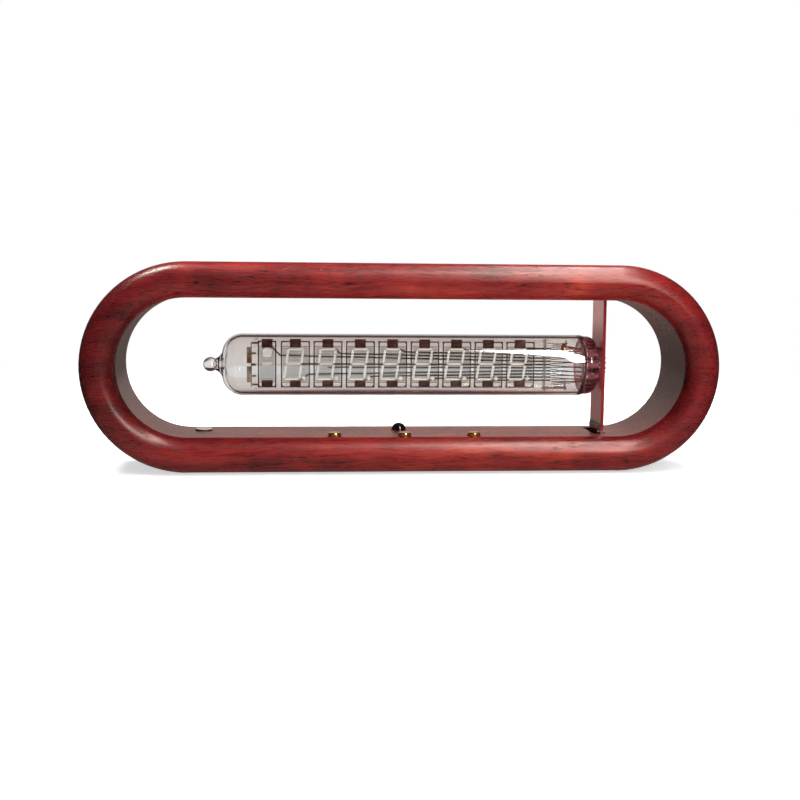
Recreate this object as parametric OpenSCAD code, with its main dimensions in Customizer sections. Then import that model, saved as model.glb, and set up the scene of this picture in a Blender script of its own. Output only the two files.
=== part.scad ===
// Desk clock: one long display tube carried inside a racetrack loop of red hardwood.
// Millimetres, +Z up. The front faces -Y and the origin is the middle of the footprint.

/* [Wooden loop] */
// Length of the loop from end to end
loop_len = 200; // [190:1:260]
// Height of the loop from its lowest to its highest point
loop_h = 65; // [62:0.5:80]
// Thickness of the rail from its inner wall to its outer wall
rail_t = 11; // [10.9:0.1:13]
// Depth of the flat inner and outer walls, front to back
wall_depth = 26; // [26:0.5:36]
// How far the rounded front and back noses stand out from the flat walls
nose_h = 4.5; // [4:0.1:5.3]

/* [Pocket in the bottom rail] */
// Wood left between the pocket and the loop's inner wall
skin_t = 2.6; // [2:0.1:2.9]
// How far the pocket runs past the straight stretch of the rail at each end
pocket_overrun = 1.1; // [0.5:0.1:1.3]
// Wood between the edge of the flat walls and the pocket's side
pocket_side = 0.4; // [0.2:0.1:1]
// Corner radius left by the milling cutter
cutter_r = 3; // [2:0.5:4]
// Thickness of the bottom cover
cover_t = 1.6; // [1.2:0.1:1.6]
// Width of the ledge that the bottom cover rests on
cover_ledge = 1; // [0.8:0.1:1]
// How far the cover lies inside the rail's underside
cover_sink = 0.15; // [0.15:0.05:0.2]
// Side clearance of the cover in its ledge
cover_gap = 0.15; // [0.1:0.05:0.3]
// Diameter of the wooden column behind each cover screw
column_d = 5.6; // [5:0.1:6]
// Distance of the cover screws from the ends of the rail's straight stretch
column_x = 27.5; // [24.5:0.5:30.5]
// How far the column axes lie inside the pocket's side
column_inset = 1.4; // [1.2:0.1:2]
// Diameter of the wooden boss that each board screw bites into
boss_d = 5; // [4.5:0.1:6]
// Distance of the board screws from the ends of the rail's straight stretch
boss_x = 13.5; // [11.5:0.5:15.5]
// Distance of the board screws from the middle, across the rail
boss_y = 9; // [8:0.1:9.4]

/* [Feet] */
// Diameter of a rubber foot
foot_d = 7; // [6:0.5:9]
// How far the feet lift the rail off the table
foot_proud = 0.6; // [0.5:0.1:2]
// Distance of the feet from the ends of the rail's straight stretch
foot_x = 7.5; // [5.5:0.5:15]
// Distance of the feet from the middle, across the rail
foot_y = 5.5; // [5:0.5:8.5]

/* [Boards] */
// Thickness of the main circuit board
board_t = 1.2; // [1:0.1:1.2]
// Clearance between the main board's edge and the pocket's side
board_gap = 0.2; // [0.1:0.05:0.4]
// Space between the main board and the wood over it, for the switches
switch_gap = 2; // [2:0.05:2.2]
// Thickness of the upright mast board
mast_t = 1; // [0.8:0.1:1.6]
// Width of the mast board, front to back
mast_w = 14; // [13:0.5:16]
// Distance from the mast's right face back to the end of the rail's straight stretch
mast_inset = 2.5; // [1.6:0.1:8]
// How far the tube and the mast stand behind the middle of the loop
tube_y = 1.5; // [0:0.1:2.5]
// How far the mast's top enters the top rail
mast_socket = 3.6; // [2:0.1:5]
// Clearance round the mast in the wood
mast_gap = 0.15; // [0.1:0.05:0.3]
// Width of the tab under the mast that passes through the main board
tab_w = 6; // [4:0.5:8]
// Space for the header and pins in the slot, left of the mast
foot_slot_left = 2.4; // [2.3:0.1:4]
// Space in the slot, right of the mast
foot_slot_right = 0.8; // [0.4:0.1:1.2]
// Pins in the row at the mast's foot
pin_count = 10; // [6:1:10]
// Distance from pin to pin
pin_pitch = 1.27; // [1.2:0.01:1.27]
// Width of a square pin
pin_w = 0.4; // [0.3:0.05:0.5]
// How far the pins reach up above the rail's inner wall
pin_rise = 3; // [2:0.1:5]

/* [Buttons and sensors] */
// Diameter of a brass button
button_d = 4; // [3.5:0.1:4.4]
// How far a released button stands proud of the wood
button_proud = 1.2; // [0.8:0.1:2]
// Radius of the rounded rim of a button
button_rim = 0.6; // [0.2:0.1:0.8]
// Clearance round a button in the wood
button_gap = 0.3; // [0.2:0.05:0.4]
// Distance from one button to the next
button_pitch = 22; // [16:0.5:26]
// Distance of the buttons in front of the middle of the rail
button_front = 10.4; // [9.8:0.1:10.5]
// Width of the flange that keeps a button in its hole
flange_w = 0.6; // [0.5:0.05:0.7]
// Thickness of the flange
flange_t = 0.6; // [0.5:0.05:0.7]
// Clearance between the flange and the wood over it
flange_lift = 0.05; // [0.03:0.01:0.1]
// Travel of a button when it is pressed
button_travel = 0.3; // [0.2:0.05:0.3]
// Diameter of a switch plunger
plunger_d = 1.8; // [1.4:0.1:2.2]
// Radial clearance of the plunger in its switch
plunger_gap = 0.05; // [0.03:0.01:0.08]
// Diameter of the infrared receiver
receiver_d = 4.8; // [4:0.1:5.2]
// How far the receiver's dome stands above the wood
receiver_proud = 2.2; // [1.5:0.1:2.6]
// Place of the receiver along the rail
receiver_x = -0.5; // [-6:0.5:6]
// Distance of the receiver behind the middle of the rail
receiver_back = 5.4; // [3:0.1:8]
// Outer diameter of the light sensor's sleeve
sensor_d = 5.3; // [4.8:0.1:6]
// Distance of the light sensor from the left end of the rail's straight stretch
sensor_left = 4; // [3.5:0.1:9]
// Distance of the light sensor behind the middle of the rail
sensor_back = 4.6; // [2:0.1:7]
// How far the light sensor stands above the wood
sensor_proud = 0.6; // [0.3:0.1:1]

/* [Power socket] */
// Width of the socket's shell
socket_w = 8.94; // [8.5:0.01:9.2]
// Height of the socket's shell
socket_h = 3.2; // [3:0.01:3.26]
// Length of the socket's shell
socket_len = 7.4; // [6.5:0.1:9]
// Distance of the socket from the right end of the rail's straight stretch
socket_x = 37.5; // [36.5:0.5:46]
// How far the socket's mouth stays inside the loop's back nose
socket_sink = 0.9; // [0.6:0.1:1.5]
// Clearance round the socket in the wood
socket_gap = 0.2; // [0.1:0.05:0.25]

/* [Display tube] */
// Outer diameter of the glass
tube_d = 19.6; // [18.5:0.1:21]
// Length of the tube from its pressed base to its dome, without the nub
tube_len = 120.5; // [116:0.1:124]
// Thickness of the glass wall
glass_t = 0.9; // [0.8:0.05:1]
// Radius of the rounded shoulder of the dome
dome_r = 6.4; // [5:0.1:7]
// Length of the exhaust nub
nub_len = 6; // [5.4:0.1:8]
// Radius of the exhaust nub
nub_r = 2.3; // [2:0.1:2.6]
// Radius of the neck between the nub and the dome
neck_r = 1.7; // [1.6:0.1:1.9]
// Thickness of the pressed glass base
base_t = 4.5; // [4:0.1:7]
// How much the pressed base is smaller than the glass, on the radius
base_step = 0.4; // [0.2:0.1:0.6]
// Radius of the base's outer corner
base_r = 3; // [2:0.1:3.4]
// Space between the base and the mast
base_gap = 0.9; // [0.5:0.1:2]
// Leads through the base
lead_count = 22; // [12:2:22]
// Radius of the ring of leads
lead_ring = 5.5; // [4.8:0.1:5.8]
// Diameter of a lead
lead_d = 0.5; // [0.4:0.05:0.6]
// Radial clearance of a lead in the glass and in the mast
lead_gap = 0.02; // [0.01:0.01:0.05]

/* [Display] */
// Digits in the row
digit_count = 8; // [4:1:8]
// Distance from digit to digit
digit_pitch = 10.4; // [10:0.05:10.6]
// Distance from the dome's crown to the middle of the first digit
first_digit = 23.2; // [22.6:0.1:24]
// Distance from the sign cell to the first digit
sign_pitch = 9; // [8.6:0.1:9.4]
// Height of a digit
digit_h = 10.6; // [8:0.1:10.8]
// Width of a digit
digit_w = 5.6; // [4:0.1:5.8]
// Distance of a digit's middle to the left of its grid's middle, which leaves room for the point
digit_left = 0.5; // [0.3:0.1:0.6]
// Width of a digit's strokes
stroke = 0.75; // [0.6:0.05:1]
// Slant of the digits in degrees
slant = 8; // [0:1:10]
// Thickness of the clear plate that carries the digits
plate_t = 0.8; // [0.5:0.05:1]
// Height of the plate
plate_h = 16.4; // [15.8:0.1:16.6]
// Distance of the plate's front behind the tube's axis
plate_back = 1.6; // [1.2:0.1:1.8]
// Width of the grid over one digit
grid_w = 9.25; // [8.6:0.05:9.6]
// Width of the grid over the sign cell
sign_grid_w = 5.9; // [5.4:0.1:6.4]
// Height of a grid
grid_h = 15; // [14.4:0.1:15.2]
// Height of the meshed field of a grid, with its two crossbars
field_h = 11.6; // [11:0.1:12]
// Distance of the grids in front of the plate
grid_lift = 1.5; // [1.2:0.1:2]
// Thickness of a grid's sheet
grid_t = 0.12; // [0.08:0.01:0.2]
// Width of the solid border of a grid
grid_border = 0.4; // [0.25:0.05:0.4]
// Distance from hole to hole in the mesh
mesh_pitch = 1.6; // [1.4:0.1:2.2]
// Width of the wire left between the mesh's holes
mesh_wire = 0.22; // [0.15:0.01:0.3]
// Distance of the filaments in front of the grids
filament_lift = 1.3; // [1:0.1:1.6]
// Diameter of a filament
filament_d = 0.1; // [0.06:0.01:0.14]
// Distance between the outer filaments and the middle one
filament_pitch = 3.6; // [3:0.1:4]
// Distance from conductor to conductor at the plate's right end
strip_pitch = 1.05; // [0.95:0.05:1.1]
// Width of a conductor
strip_w = 0.5; // [0.3:0.02:0.5]
// Outer radius of the getter ring
getter_r = 2.05; // [1.6:0.05:2.2]

/* [Hidden] */

$fn = 64;

// Length that every cut runs past the face it opens
cut = 1;

// Levels, from the table upwards
wood_z = foot_proud;
axis_z = wood_z + loop_h / 2;
shelf_z = wood_z + rail_t;
roof_z = wood_z + loop_h - rail_t;
skin_under = shelf_z - skin_t;
board_top = skin_under - switch_gap;
board_under = board_top - board_t;
cover_under = wood_z + cover_sink;
cover_top = cover_under + cover_t;

// Plan of the loop
inner_r = loop_h / 2 - rail_t;
straight = loop_len / 2 - loop_h / 2;
loop_depth = wall_depth + 2 * nose_h;
nose_r = (rail_t * rail_t / 4 + nose_h * nose_h) / (2 * nose_h);

// Plan of the pocket, the ledge and the boards in it
pocket_x = straight + pocket_overrun;
pocket_y = wall_depth / 2 - pocket_side;
ledge_x = pocket_x + cover_ledge;
ledge_y = pocket_y + cover_ledge;
column_at = straight - column_x;
boss_at = straight - boss_x;
foot_at = straight - foot_x;
sensor_x = -(straight - sensor_left);
pilot_room = 0.3;
board_x = pocket_x - board_gap;
board_y = pocket_y - board_gap;
column_y = pocket_y - column_inset;
column_relief = 0.4;

// The mast and the slot round its foot
mast_right = straight - mast_inset;
mast_left = mast_right - mast_t;
mast_top = roof_z + mast_socket;
slot_front = 0.45;
tab_gap = 0.05;
tab_reach = 0.6;
header_w = 2;
header_t = 1.5;
blob_r = 0.6;
blob_down = 1.1;
blob_skirt = 1;
via_r = 0.3;
via_inset = 2;
via_drop = 3.2;
via_pitch = 1.8;
pin_x1 = mast_left;
pin_x0 = mast_left - pin_w;
pin_y = [for (k = [0 : pin_count - 1]) tube_y + (k - (pin_count - 1) / 2) * pin_pitch];

// Buttons, plungers and switches
button_y = -button_front;
button_x = [-button_pitch, 0, button_pitch];
hole_r = button_d / 2 + button_gap;
flange_r = button_d / 2 + flange_w;
flange_top = skin_under - flange_lift;
flange_under = flange_top - flange_t;
well_gap = 0.2;
well_r = flange_r + well_gap;
switch_size = [3.6, 3.4, 0.9];
switch_floor = 0.1;
plunger_rest = 0.05;
plunger_under = board_top + switch_floor + button_travel + plunger_rest;

// Receiver, light sensor and the holes they look out of
receiver_hole_gap = 0.15;
receiver_flange = [0.5, 0.9];
sensor_wall = 0.5;
sensor_hole_gap = 0.15;
sensor_rim_drop = 0.25;
sensor_fit = 0.05;

// Screws
screw_shank_r = 0.9;
screw_gap = 0.03;
screw_len = 3.4;
screw_head_r = 1.8;
screw_head_t = 1;
screw_drive_r = 0.9;
screw_drive_t = 0.5;
cover_screw_len = 4.2;
board_hole_gap = 0.2;

// Socket
socket_at = straight - socket_x;
socket_mouth_y = loop_depth / 2 - socket_sink;
socket_wall = 0.3;
tongue_size = [6.7, 4.6, 0.7];
board_tab_back = 1;
board_tab_y = socket_mouth_y - board_tab_back;
tongue_root = [1.2, 0.5];

// Parts under the main board: places as [x, y], sizes as [x, y, height]
processor_at = [-8, 0];
processor_size = [7, 7, 0.9];
processor_leg_pitch = 0.8;
driver_from_mast = 18.7;
driver_at = [mast_left - driver_from_mast, 0];
driver_size = [7.5, 15.4, 2.2];
driver_leg_rows = 11;
driver_lift = 0.1;
mark_depth = 0.1;
mark_r = [0.4, 0.8];
mark_inset = 1;
leg_reach = 1.2;
leg_w_chip = 0.45;
leg_t = 0.25;
inductor_at = [10, -5];
inductor_size = [6, 6, 2.8];
winding_r = 2.2;
winding_depth = 0.4;
capacitor_at = [[19, -6], [19, 3], [3, 6]];
capacitor_size = [4.4, 3, 2.2];
polarity_step = [0.5, 0.3];
crystal_at = [-8, 9];
crystal_size = [5, 3.2, 1.1];
cell_from_column = 8;
cell_at = [cell_from_column - column_at, 0];
cell_r = 6.25;
cell_t = 2;
cell_seat = 0.4;
cell_step = [0.8, 0.4];

// Tube: lengths run along its axis from the base's outer face, towards the dome
tube_r = tube_d / 2;
base_x = mast_left - base_gap;
crown_x = base_x - tube_len;
base_out_r = tube_r - base_step;
cavity_r = tube_r - glass_t;
cavity_corner = 2;
neck_flare = 3.4;
shoulder = [tube_r - dome_r, tube_len - dome_r];
flare_x = neck_r + neck_flare;
flare_at = [flare_x, shoulder[1] + sqrt(pow(dome_r + neck_flare, 2) - pow(flare_x - shoulder[0], 2))];
nub_end = tube_len + nub_len;
channel_r = 0.9;
channel_len = 3.2;
lead_stub = 0.7;
lead_end_x = mast_right + lead_stub;
lead_knee = 1;
lead_knee_x = base_x - base_t - lead_knee;
lead_thin = 0.6;

// Display: places along X, and depths along Y
plate_y = tube_y + plate_back;
plate_from_crown = 9.7;
plate_from_base = 14.1;
plate_x0 = crown_x + plate_from_crown;
plate_x1 = base_x - plate_from_base;
plate_back_y = plate_y + plate_t;
plate_r = 0.6;
grid_y = plate_y - grid_lift;
filament_y = grid_y - filament_lift;
digit_x = [for (i = [0 : digit_count - 1]) crown_x + first_digit + i * digit_pitch];
sign_x = digit_x[0] - sign_pitch;
grid_x = concat([sign_x], digit_x);
film_t = 0.05;
print_gap = 0.3;
pad_size = [3.5, 1, 2.1];
pad_cap = 0.8;
pad_low = field_h / 2 - 0.5;
slot_gap = [0.05, 0.2, 0.3];
leg_w = 1.6;
corner_w = 0.6;
leg_z = pad_low + pad_size[2] / 2;
dot_size = 1.1;
dot_up = 0.3;
dot_away = 1.5;
disc_r = 1.6;
disc_up = 3.65;
bar_w = 3.3;
wire_z = [for (k = [-1 : 1]) axis_z + k * filament_pitch];

// Conductors on the back of the plate
strip_count = 11;
strip_len = 5.2;
strip_x = plate_x1 - strip_len;
turn_len = 2.4;
turn_share = 0.6;
terminal_inset = 0.9;
terminal_gap = 0.2;
terminal_pitch = (plate_h - 2 * terminal_inset) / lead_count;

// Sheet-metal supports at both ends of the plate
sheet_t = 0.25;
hold_gap = 0.02;
hold_t = 0.15;
hold_len = 1;
hold_lip = 0.9;
support_front = 0.6;
mount_gap = 0.6;
mount_x = plate_x0 - mount_gap;
mount_h = 14.2;
mount_window = 2.1;
mount_back = 0.8;
strap_w = 0.6;
strap_z = (mount_h - strap_w) / 2;
strap_len = 1.5;
leaf_w = 1.3;
leaf_z = [0.5, 5.6];
spring_len = 1.6;
spring_w = 0.7;
spring_t = 0.2;
anchor_inset = 2.6;
anchor_x = plate_x1 - anchor_inset;
anchor_top = plate_h / 2 + hold_gap + hold_t;
anchor_window = 4.4;
wing_z = 6.9;
wing_short = 4.4;
wing_x = lead_knee_x - wing_short;
wing_y = [tube_y - 4.1, tube_y - 0.9];
lug_y = [tube_y - 2.7, tube_y - 1.1];
lug_z = [4.8, 7.9];
clip_inset = 0.5;
clip_len = 1;
clip_reach = 0.15;
getter_x = anchor_x + 5.6;
getter_y = tube_y - 3.3;
getter_size = [0.7, 0.8];

function leaning(x, z) = [x + (z - axis_z) * tan(slant), z];

// A flat outline with round corners, x0 to x1 by y0 to y1
module rounded(x0, x1, y0, y1, r) {
    union() {
        translate([x0 + r, y0])
            square([x1 - x0 - 2 * r, y1 - y0]);
        translate([x0, y0 + r])
            square([x1 - x0, y1 - y0 - 2 * r]);
        for (x = [x0 + r, x1 - r], y = [y0 + r, y1 - r])
            translate([x, y])
                circle(r);
    }
}

// A flat slab with round corners, x0 to x1 by y0 to y1, standing on z with height h
module slab(x0, x1, y0, y1, z, h, r) {
    translate([0, 0, z])
        linear_extrude(height = h)
            rounded(x0, x1, y0, y1, r);
}

// A block given by its lowest corner and its highest corner
module block(low, high) {
    translate(low)
        cube(high - low);
}

// A round bar from one point to another
module bar(from, to, d) {
    way = to - from;
    turn = atan2(norm([way[0], way[1]]), way[2]);
    translate(from)
        rotate([0, turn, atan2(way[1], way[0])])
            cylinder(d = d, h = norm(way), $fn = 16);
}

// Everything of the tube is turned from its own axis to the clock's X axis here
module on_tube_axis() {
    translate([base_x, tube_y, axis_z])
        rotate([0, -90, 0])
            children();
}

// A flat drawing in X and Z, given a thickness t, with its front face at depth y
module upright(y, t) {
    translate([0, y + t, 0])
        rotate([90, 0, 0])
            linear_extrude(height = t)
                children();
}

// Section of the rail: flat inner and outer walls, and a rounded nose front and back
module rail_section() {
    intersection() {
        translate([0, -loop_depth / 2])
            square([rail_t, loop_depth]);
        union() {
            translate([0, -wall_depth / 2])
                square([rail_t, wall_depth]);
            for (s = [-1, 1])
                translate([rail_t / 2, s * (loop_depth / 2 - nose_r)])
                    circle(nose_r, $fn = 96);
        }
    }
}

module loop_half() {
    translate([straight, 0, inner_r])
        rotate([0, -90, 0])
            linear_extrude(height = 2 * straight)
                rail_section();
    translate([straight, 0, 0])
        rotate([90, 0, 0])
            rotate([0, 0, -90])
                rotate_extrude(angle = 180, $fn = 128)
                    translate([inner_r, 0])
                        rail_section();
}

module loop() {
    translate([0, 0, axis_z]) {
        loop_half();
        rotate([0, 180, 0])
            loop_half();
    }
}

module pocket() {
    difference() {
        slab(-pocket_x, pocket_x, -pocket_y, pocket_y, wood_z - cut, skin_under - wood_z + cut, cutter_r);
        for (x = [-column_at, column_at], s = [-1, 1]) {
            translate([x, s * column_y, cover_top])
                cylinder(d = column_d, h = rail_t);
            block([x - column_d / 2, min(s * column_y, s * rail_t * 2), cover_top],
                  [x + column_d / 2, max(s * column_y, s * rail_t * 2), cover_top + rail_t]);
        }
        for (x = [-boss_at, boss_at], y = [-boss_y, boss_y])
            translate([x, y, board_top])
                cylinder(d = boss_d, h = rail_t);
    }
    slab(-ledge_x, ledge_x, -ledge_y, ledge_y, wood_z - cut, cover_top - wood_z + cut, cutter_r);
}

module wood_frame() {
    color("firebrick")
        difference() {
            loop();
            pocket();
            for (x = button_x) {
                translate([x, button_y, skin_under - cut])
                    cylinder(r = hole_r, h = skin_t + 2 * cut);
                translate([x, button_y, cover_top])
                    cylinder(r = well_r, h = skin_under - cover_top);
            }
            translate([receiver_x, receiver_back, skin_under - cut])
                cylinder(r = receiver_d / 2 + receiver_hole_gap, h = skin_t + 2 * cut);
            translate([sensor_x, sensor_back, skin_under - cut])
                cylinder(r = sensor_d / 2 + sensor_hole_gap, h = skin_t + 2 * cut);
            block([mast_left - foot_slot_left, tube_y - mast_w / 2 - slot_front, skin_under - cut],
                  [mast_right + foot_slot_right, tube_y + mast_w / 2 + slot_front, shelf_z + cut]);
            block([mast_left - mast_gap, tube_y - mast_w / 2 - mast_gap, roof_z - cut],
                  [mast_right + mast_gap, tube_y + mast_w / 2 + mast_gap, mast_top + mast_gap]);
            socket_cut();
            for (x = [-column_at, column_at], s = [-1, 1])
                translate([x, s * column_y, cover_top - cut])
                    cylinder(r = screw_shank_r + screw_gap, h = cover_screw_len + cut);
            for (x = [-boss_at, boss_at], y = [-boss_y, boss_y])
                translate([x, y, board_top - cut])
                    cylinder(r = screw_shank_r + screw_gap, h = screw_len - board_t + cut + pilot_room);
        }
}

// Outline of the socket, seen from the back, grown by g
module socket_outline(g) {
    r = socket_h / 2 + g;
    union() {
        translate([-(socket_w - socket_h) / 2, -r])
            square([socket_w - socket_h, 2 * r]);
        for (s = [-1, 1])
            translate([s * (socket_w - socket_h) / 2, 0])
                circle(r);
    }
}

// A socket-shaped prism from depth y0 to depth y1, grown by g
module socket_prism(g, y0, y1) {
    translate([socket_at, y1, board_under - socket_h / 2])
        rotate([90, 0, 0])
            linear_extrude(height = y1 - y0)
                socket_outline(g);
}

module socket_cut() {
    socket_prism(socket_gap, pocket_y - cut, loop_depth);
    block([socket_at - socket_w / 2 - socket_gap, pocket_y - cut, board_under - socket_h / 2],
          [socket_at + socket_w / 2 + socket_gap, board_tab_y + board_gap, board_top + board_gap]);
}

module bottom_cover() {
    color("saddlebrown")
        difference() {
            slab(-ledge_x + cover_gap, ledge_x - cover_gap, -ledge_y + cover_gap, ledge_y - cover_gap,
                 cover_under, cover_t, cutter_r - cover_gap);
            for (x = [-column_at, column_at], y = [-column_y, column_y]) {
                translate([x, y, cover_under - cut])
                    cylinder(r = screw_shank_r + board_hole_gap, h = cover_t + 2 * cut);
                translate([x, y, cover_under - cut])
                    cylinder(r = screw_head_r + board_hole_gap, h = screw_head_t + cut);
            }
        }
}

// A screw that points up, with its head's seat at z = 0
module screw(length) {
    difference() {
        union() {
            cylinder(r = screw_shank_r, h = length);
            translate([0, 0, -screw_head_t])
                cylinder(r = screw_head_r, h = screw_head_t);
        }
        translate([0, 0, -screw_head_t - cut])
            cylinder(r = screw_drive_r, h = screw_drive_t + cut, $fn = 6);
    }
}

module cover_screws() {
    color("dimgray")
        for (x = [-column_at, column_at], y = [-column_y, column_y])
            translate([x, y, cover_under + screw_head_t])
                screw(cover_screw_len - pilot_room + cover_t - screw_head_t);
}

module board_screws() {
    color("silver")
        for (x = [-boss_at, boss_at], y = [-boss_y, boss_y])
            translate([x, y, board_under])
                screw(screw_len);
}

module rubber_feet() {
    color("black")
        for (x = [-foot_at, foot_at], y = [-foot_y, foot_y])
            translate([x, y, 0])
                cylinder(d = foot_d, h = cover_under);
}

module main_board() {
    color("darkred")
        difference() {
            union() {
                slab(-board_x, board_x, -board_y, board_y, board_under, board_t, cutter_r - board_gap);
                block([socket_at - socket_w / 2, 0, board_under],
                      [socket_at + socket_w / 2, board_tab_y, board_top]);
            }
            for (x = [-column_at, column_at], s = [-1, 1]) {
                translate([x, s * column_y, board_under - cut])
                    cylinder(r = column_d / 2 + column_relief, h = board_t + 2 * cut);
                block([x - column_d / 2 - column_relief, min(s * column_y, s * rail_t * 2),
                       board_under - cut],
                      [x + column_d / 2 + column_relief, max(s * column_y, s * rail_t * 2),
                       board_top + cut]);
            }
            for (x = [-boss_at, boss_at], y = [-boss_y, boss_y])
                translate([x, y, board_under - cut])
                    cylinder(r = screw_shank_r + board_hole_gap, h = board_t + 2 * cut);
            block([mast_left - tab_gap, tube_y - tab_w / 2 - tab_gap, board_under - cut],
                  [mast_right + tab_gap, tube_y + tab_w / 2 + tab_gap, board_top + cut]);
        }
}

// A part of size [x, y, height] hung under the main board at x, y
module under_board(x, y, size) {
    translate([x - size[0] / 2, y - size[1] / 2, board_under - size[2]])
        cube(size);
}

module processor_chip() {
    color("dimgray")
        difference() {
            under_board(processor_at[0], processor_at[1], processor_size);
            translate([processor_at[0] - processor_size[0] / 2 + mark_inset,
                       processor_at[1] - processor_size[1] / 2 + mark_inset,
                       board_under - processor_size[2] - cut])
                cylinder(r = mark_r[0], h = cut + mark_depth);
        }
}

module driver_chip() {
    color("dimgray")
        difference() {
            translate([0, 0, -driver_lift])
                under_board(driver_at[0], driver_at[1], driver_size);
            translate([driver_at[0], driver_at[1] - driver_size[1] / 2, board_under - driver_size[2] - cut])
                cylinder(r = mark_r[1], h = cut + mark_depth);
        }
}

// One stamped leg: out of the package, down to the board and along it, for a chip whose side faces +X
module chip_leg(package_t, stand_off) {
    rotate([90, 0, 0])
        linear_extrude(height = leg_w_chip, center = true)
            polygon([
                [0, -stand_off - package_t / 2], [leg_reach / 2, -stand_off - package_t / 2],
                [leg_reach / 2, -leg_t], [leg_reach, -leg_t], [leg_reach, 0],
                [leg_reach / 2 - leg_t, 0], [leg_reach / 2 - leg_t, -stand_off - package_t / 2 + leg_t],
                [0, -stand_off - package_t / 2 + leg_t]
            ]);
}

module chip_legs() {
    color("silver") {
        for (s = [0, 180], k = [0 : driver_leg_rows - 1])
            translate([driver_at[0], driver_at[1], board_under])
                rotate([0, 0, s])
                    translate([driver_size[0] / 2, (k - (driver_leg_rows - 1) / 2) * pin_pitch, 0])
                        chip_leg(driver_size[2], driver_lift);
        for (turn = [0 : 90 : 270], k = [-3 : 3])
            translate([processor_at[0], processor_at[1], board_under])
                rotate([0, 0, turn])
                    translate([processor_size[0] / 2, k * processor_leg_pitch, 0])
                        chip_leg(processor_size[2], 0);
    }
}

module boost_inductor() {
    color("darkslategray")
        difference() {
            under_board(inductor_at[0], inductor_at[1], inductor_size);
            translate([inductor_at[0], inductor_at[1], board_under - inductor_size[2] - cut])
                cylinder(r = winding_r, h = cut + winding_depth);
        }
}

module smoothing_capacitors() {
    color("goldenrod")
        for (at = capacitor_at)
            difference() {
                under_board(at[0], at[1], capacitor_size);
                translate([at[0] - capacitor_size[0] / 2 - cut, at[1] - capacitor_size[1] / 2 - cut,
                           board_under - capacitor_size[2] - cut])
                    cube([cut + polarity_step[0], capacitor_size[1] + 2 * cut, cut + polarity_step[1]]);
            }
}

module clock_crystal() {
    color("gainsboro")
        slab(crystal_at[0] - crystal_size[0] / 2, crystal_at[0] + crystal_size[0] / 2,
             crystal_at[1] - crystal_size[1] / 2, crystal_at[1] + crystal_size[1] / 2,
             board_under - crystal_size[2], crystal_size[2], crystal_size[1] / 4);
}

module coin_cell() {
    color("silver")
        translate([cell_at[0], cell_at[1], board_under - cell_seat - cell_t])
            rotate_extrude()
                union() {
                    square([cell_r, cell_t - cell_step[1]]);
                    square([cell_r - cell_step[0], cell_t]);
                }
}

// Spring clip: a strap under the cell with a foot on the board at each side
module cell_clip() {
    clip_w = 5;
    clip_t = 0.3;
    clip_foot = 2;
    hole_d = 2.8;
    gap = 0.1;
    out = cell_r + gap;
    low = board_under - cell_seat - cell_t - gap - clip_t;
    color("gainsboro")
        translate([cell_at[0], 0, 0])
            difference() {
                union() {
                    block([-clip_w / 2, -out - clip_t, low], [clip_w / 2, out + clip_t, low + clip_t]);
                    for (s = [0, 180])
                        rotate([0, 0, s]) {
                            block([-clip_w / 2, out, low], [clip_w / 2, out + clip_t, board_under]);
                            block([-clip_w / 2, out, board_under - clip_t],
                                  [clip_w / 2, out + clip_foot, board_under]);
                        }
                }
                translate([0, 0, low - cut])
                    cylinder(d = hole_d, h = clip_t + 2 * cut);
            }
}

module socket_shell() {
    color("silver")
        difference() {
            socket_prism(0, socket_mouth_y - socket_len, socket_mouth_y);
            socket_prism(-socket_wall, socket_mouth_y - socket_len + socket_wall, socket_mouth_y + cut);
        }
}

module socket_tongue() {
    color("black")
        translate([socket_at - tongue_size[0] / 2, socket_mouth_y - socket_len + socket_wall,
                   board_under - socket_h / 2 - tongue_size[2] / 2])
            union() {
                cube(tongue_size);
                translate([0, 0, -tongue_root[1]])
                    cube([tongue_size[0], tongue_root[0], tongue_size[2] + 2 * tongue_root[1]]);
            }
}

module switch_bodies() {
    color("dimgray")
        for (x = button_x)
            difference() {
                translate([x - switch_size[0] / 2, button_y - switch_size[1] / 2, board_top])
                    cube(switch_size);
                translate([x, button_y, board_top + switch_floor])
                    cylinder(r = plunger_d / 2 + plunger_gap, h = switch_size[2] + cut);
            }
}

module switch_plunger(k) {
    color("black")
        translate([button_x[k], button_y, plunger_under])
            cylinder(d = plunger_d, h = flange_under - plunger_under);
}

module brass_button(k) {
    r = button_d / 2;
    top = shelf_z + button_proud - flange_under;
    color("goldenrod")
        translate([button_x[k], button_y, flange_under])
            rotate_extrude()
                union() {
                    square([flange_r, flange_t]);
                    square([r, top - button_rim]);
                    square([r - button_rim, top]);
                    intersection() {
                        translate([r - button_rim, top - button_rim])
                            circle(button_rim);
                        square([r, top]);
                    }
                }
}

module infrared_receiver() {
    r = receiver_d / 2;
    color("black")
        translate([receiver_x, receiver_back, 0])
            union() {
                translate([0, 0, board_top])
                    cylinder(r = r, h = shelf_z + receiver_proud - r - board_top);
                translate([0, 0, board_top])
                    cylinder(r = r + receiver_flange[0], h = receiver_flange[1]);
                translate([0, 0, shelf_z + receiver_proud - r])
                    sphere(r);
            }
}

module sensor_sleeve() {
    color("black")
        translate([sensor_x, sensor_back, board_top])
            difference() {
                cylinder(d = sensor_d, h = shelf_z + sensor_proud - sensor_rim_drop - board_top);
                translate([0, 0, cut])
                    cylinder(d = sensor_d - 2 * sensor_wall, h = rail_t);
            }
}

module light_sensor() {
    top = shelf_z + sensor_proud;
    color("ivory")
        translate([sensor_x, sensor_back, 0])
            union() {
                translate([0, 0, board_top + cut])
                    cylinder(r = sensor_d / 2 - sensor_wall - sensor_fit, h = top - board_top - cut);
                translate([0, 0, top - sensor_rim_drop])
                    cylinder(d = sensor_d, h = sensor_rim_drop);
            }
}

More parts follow.
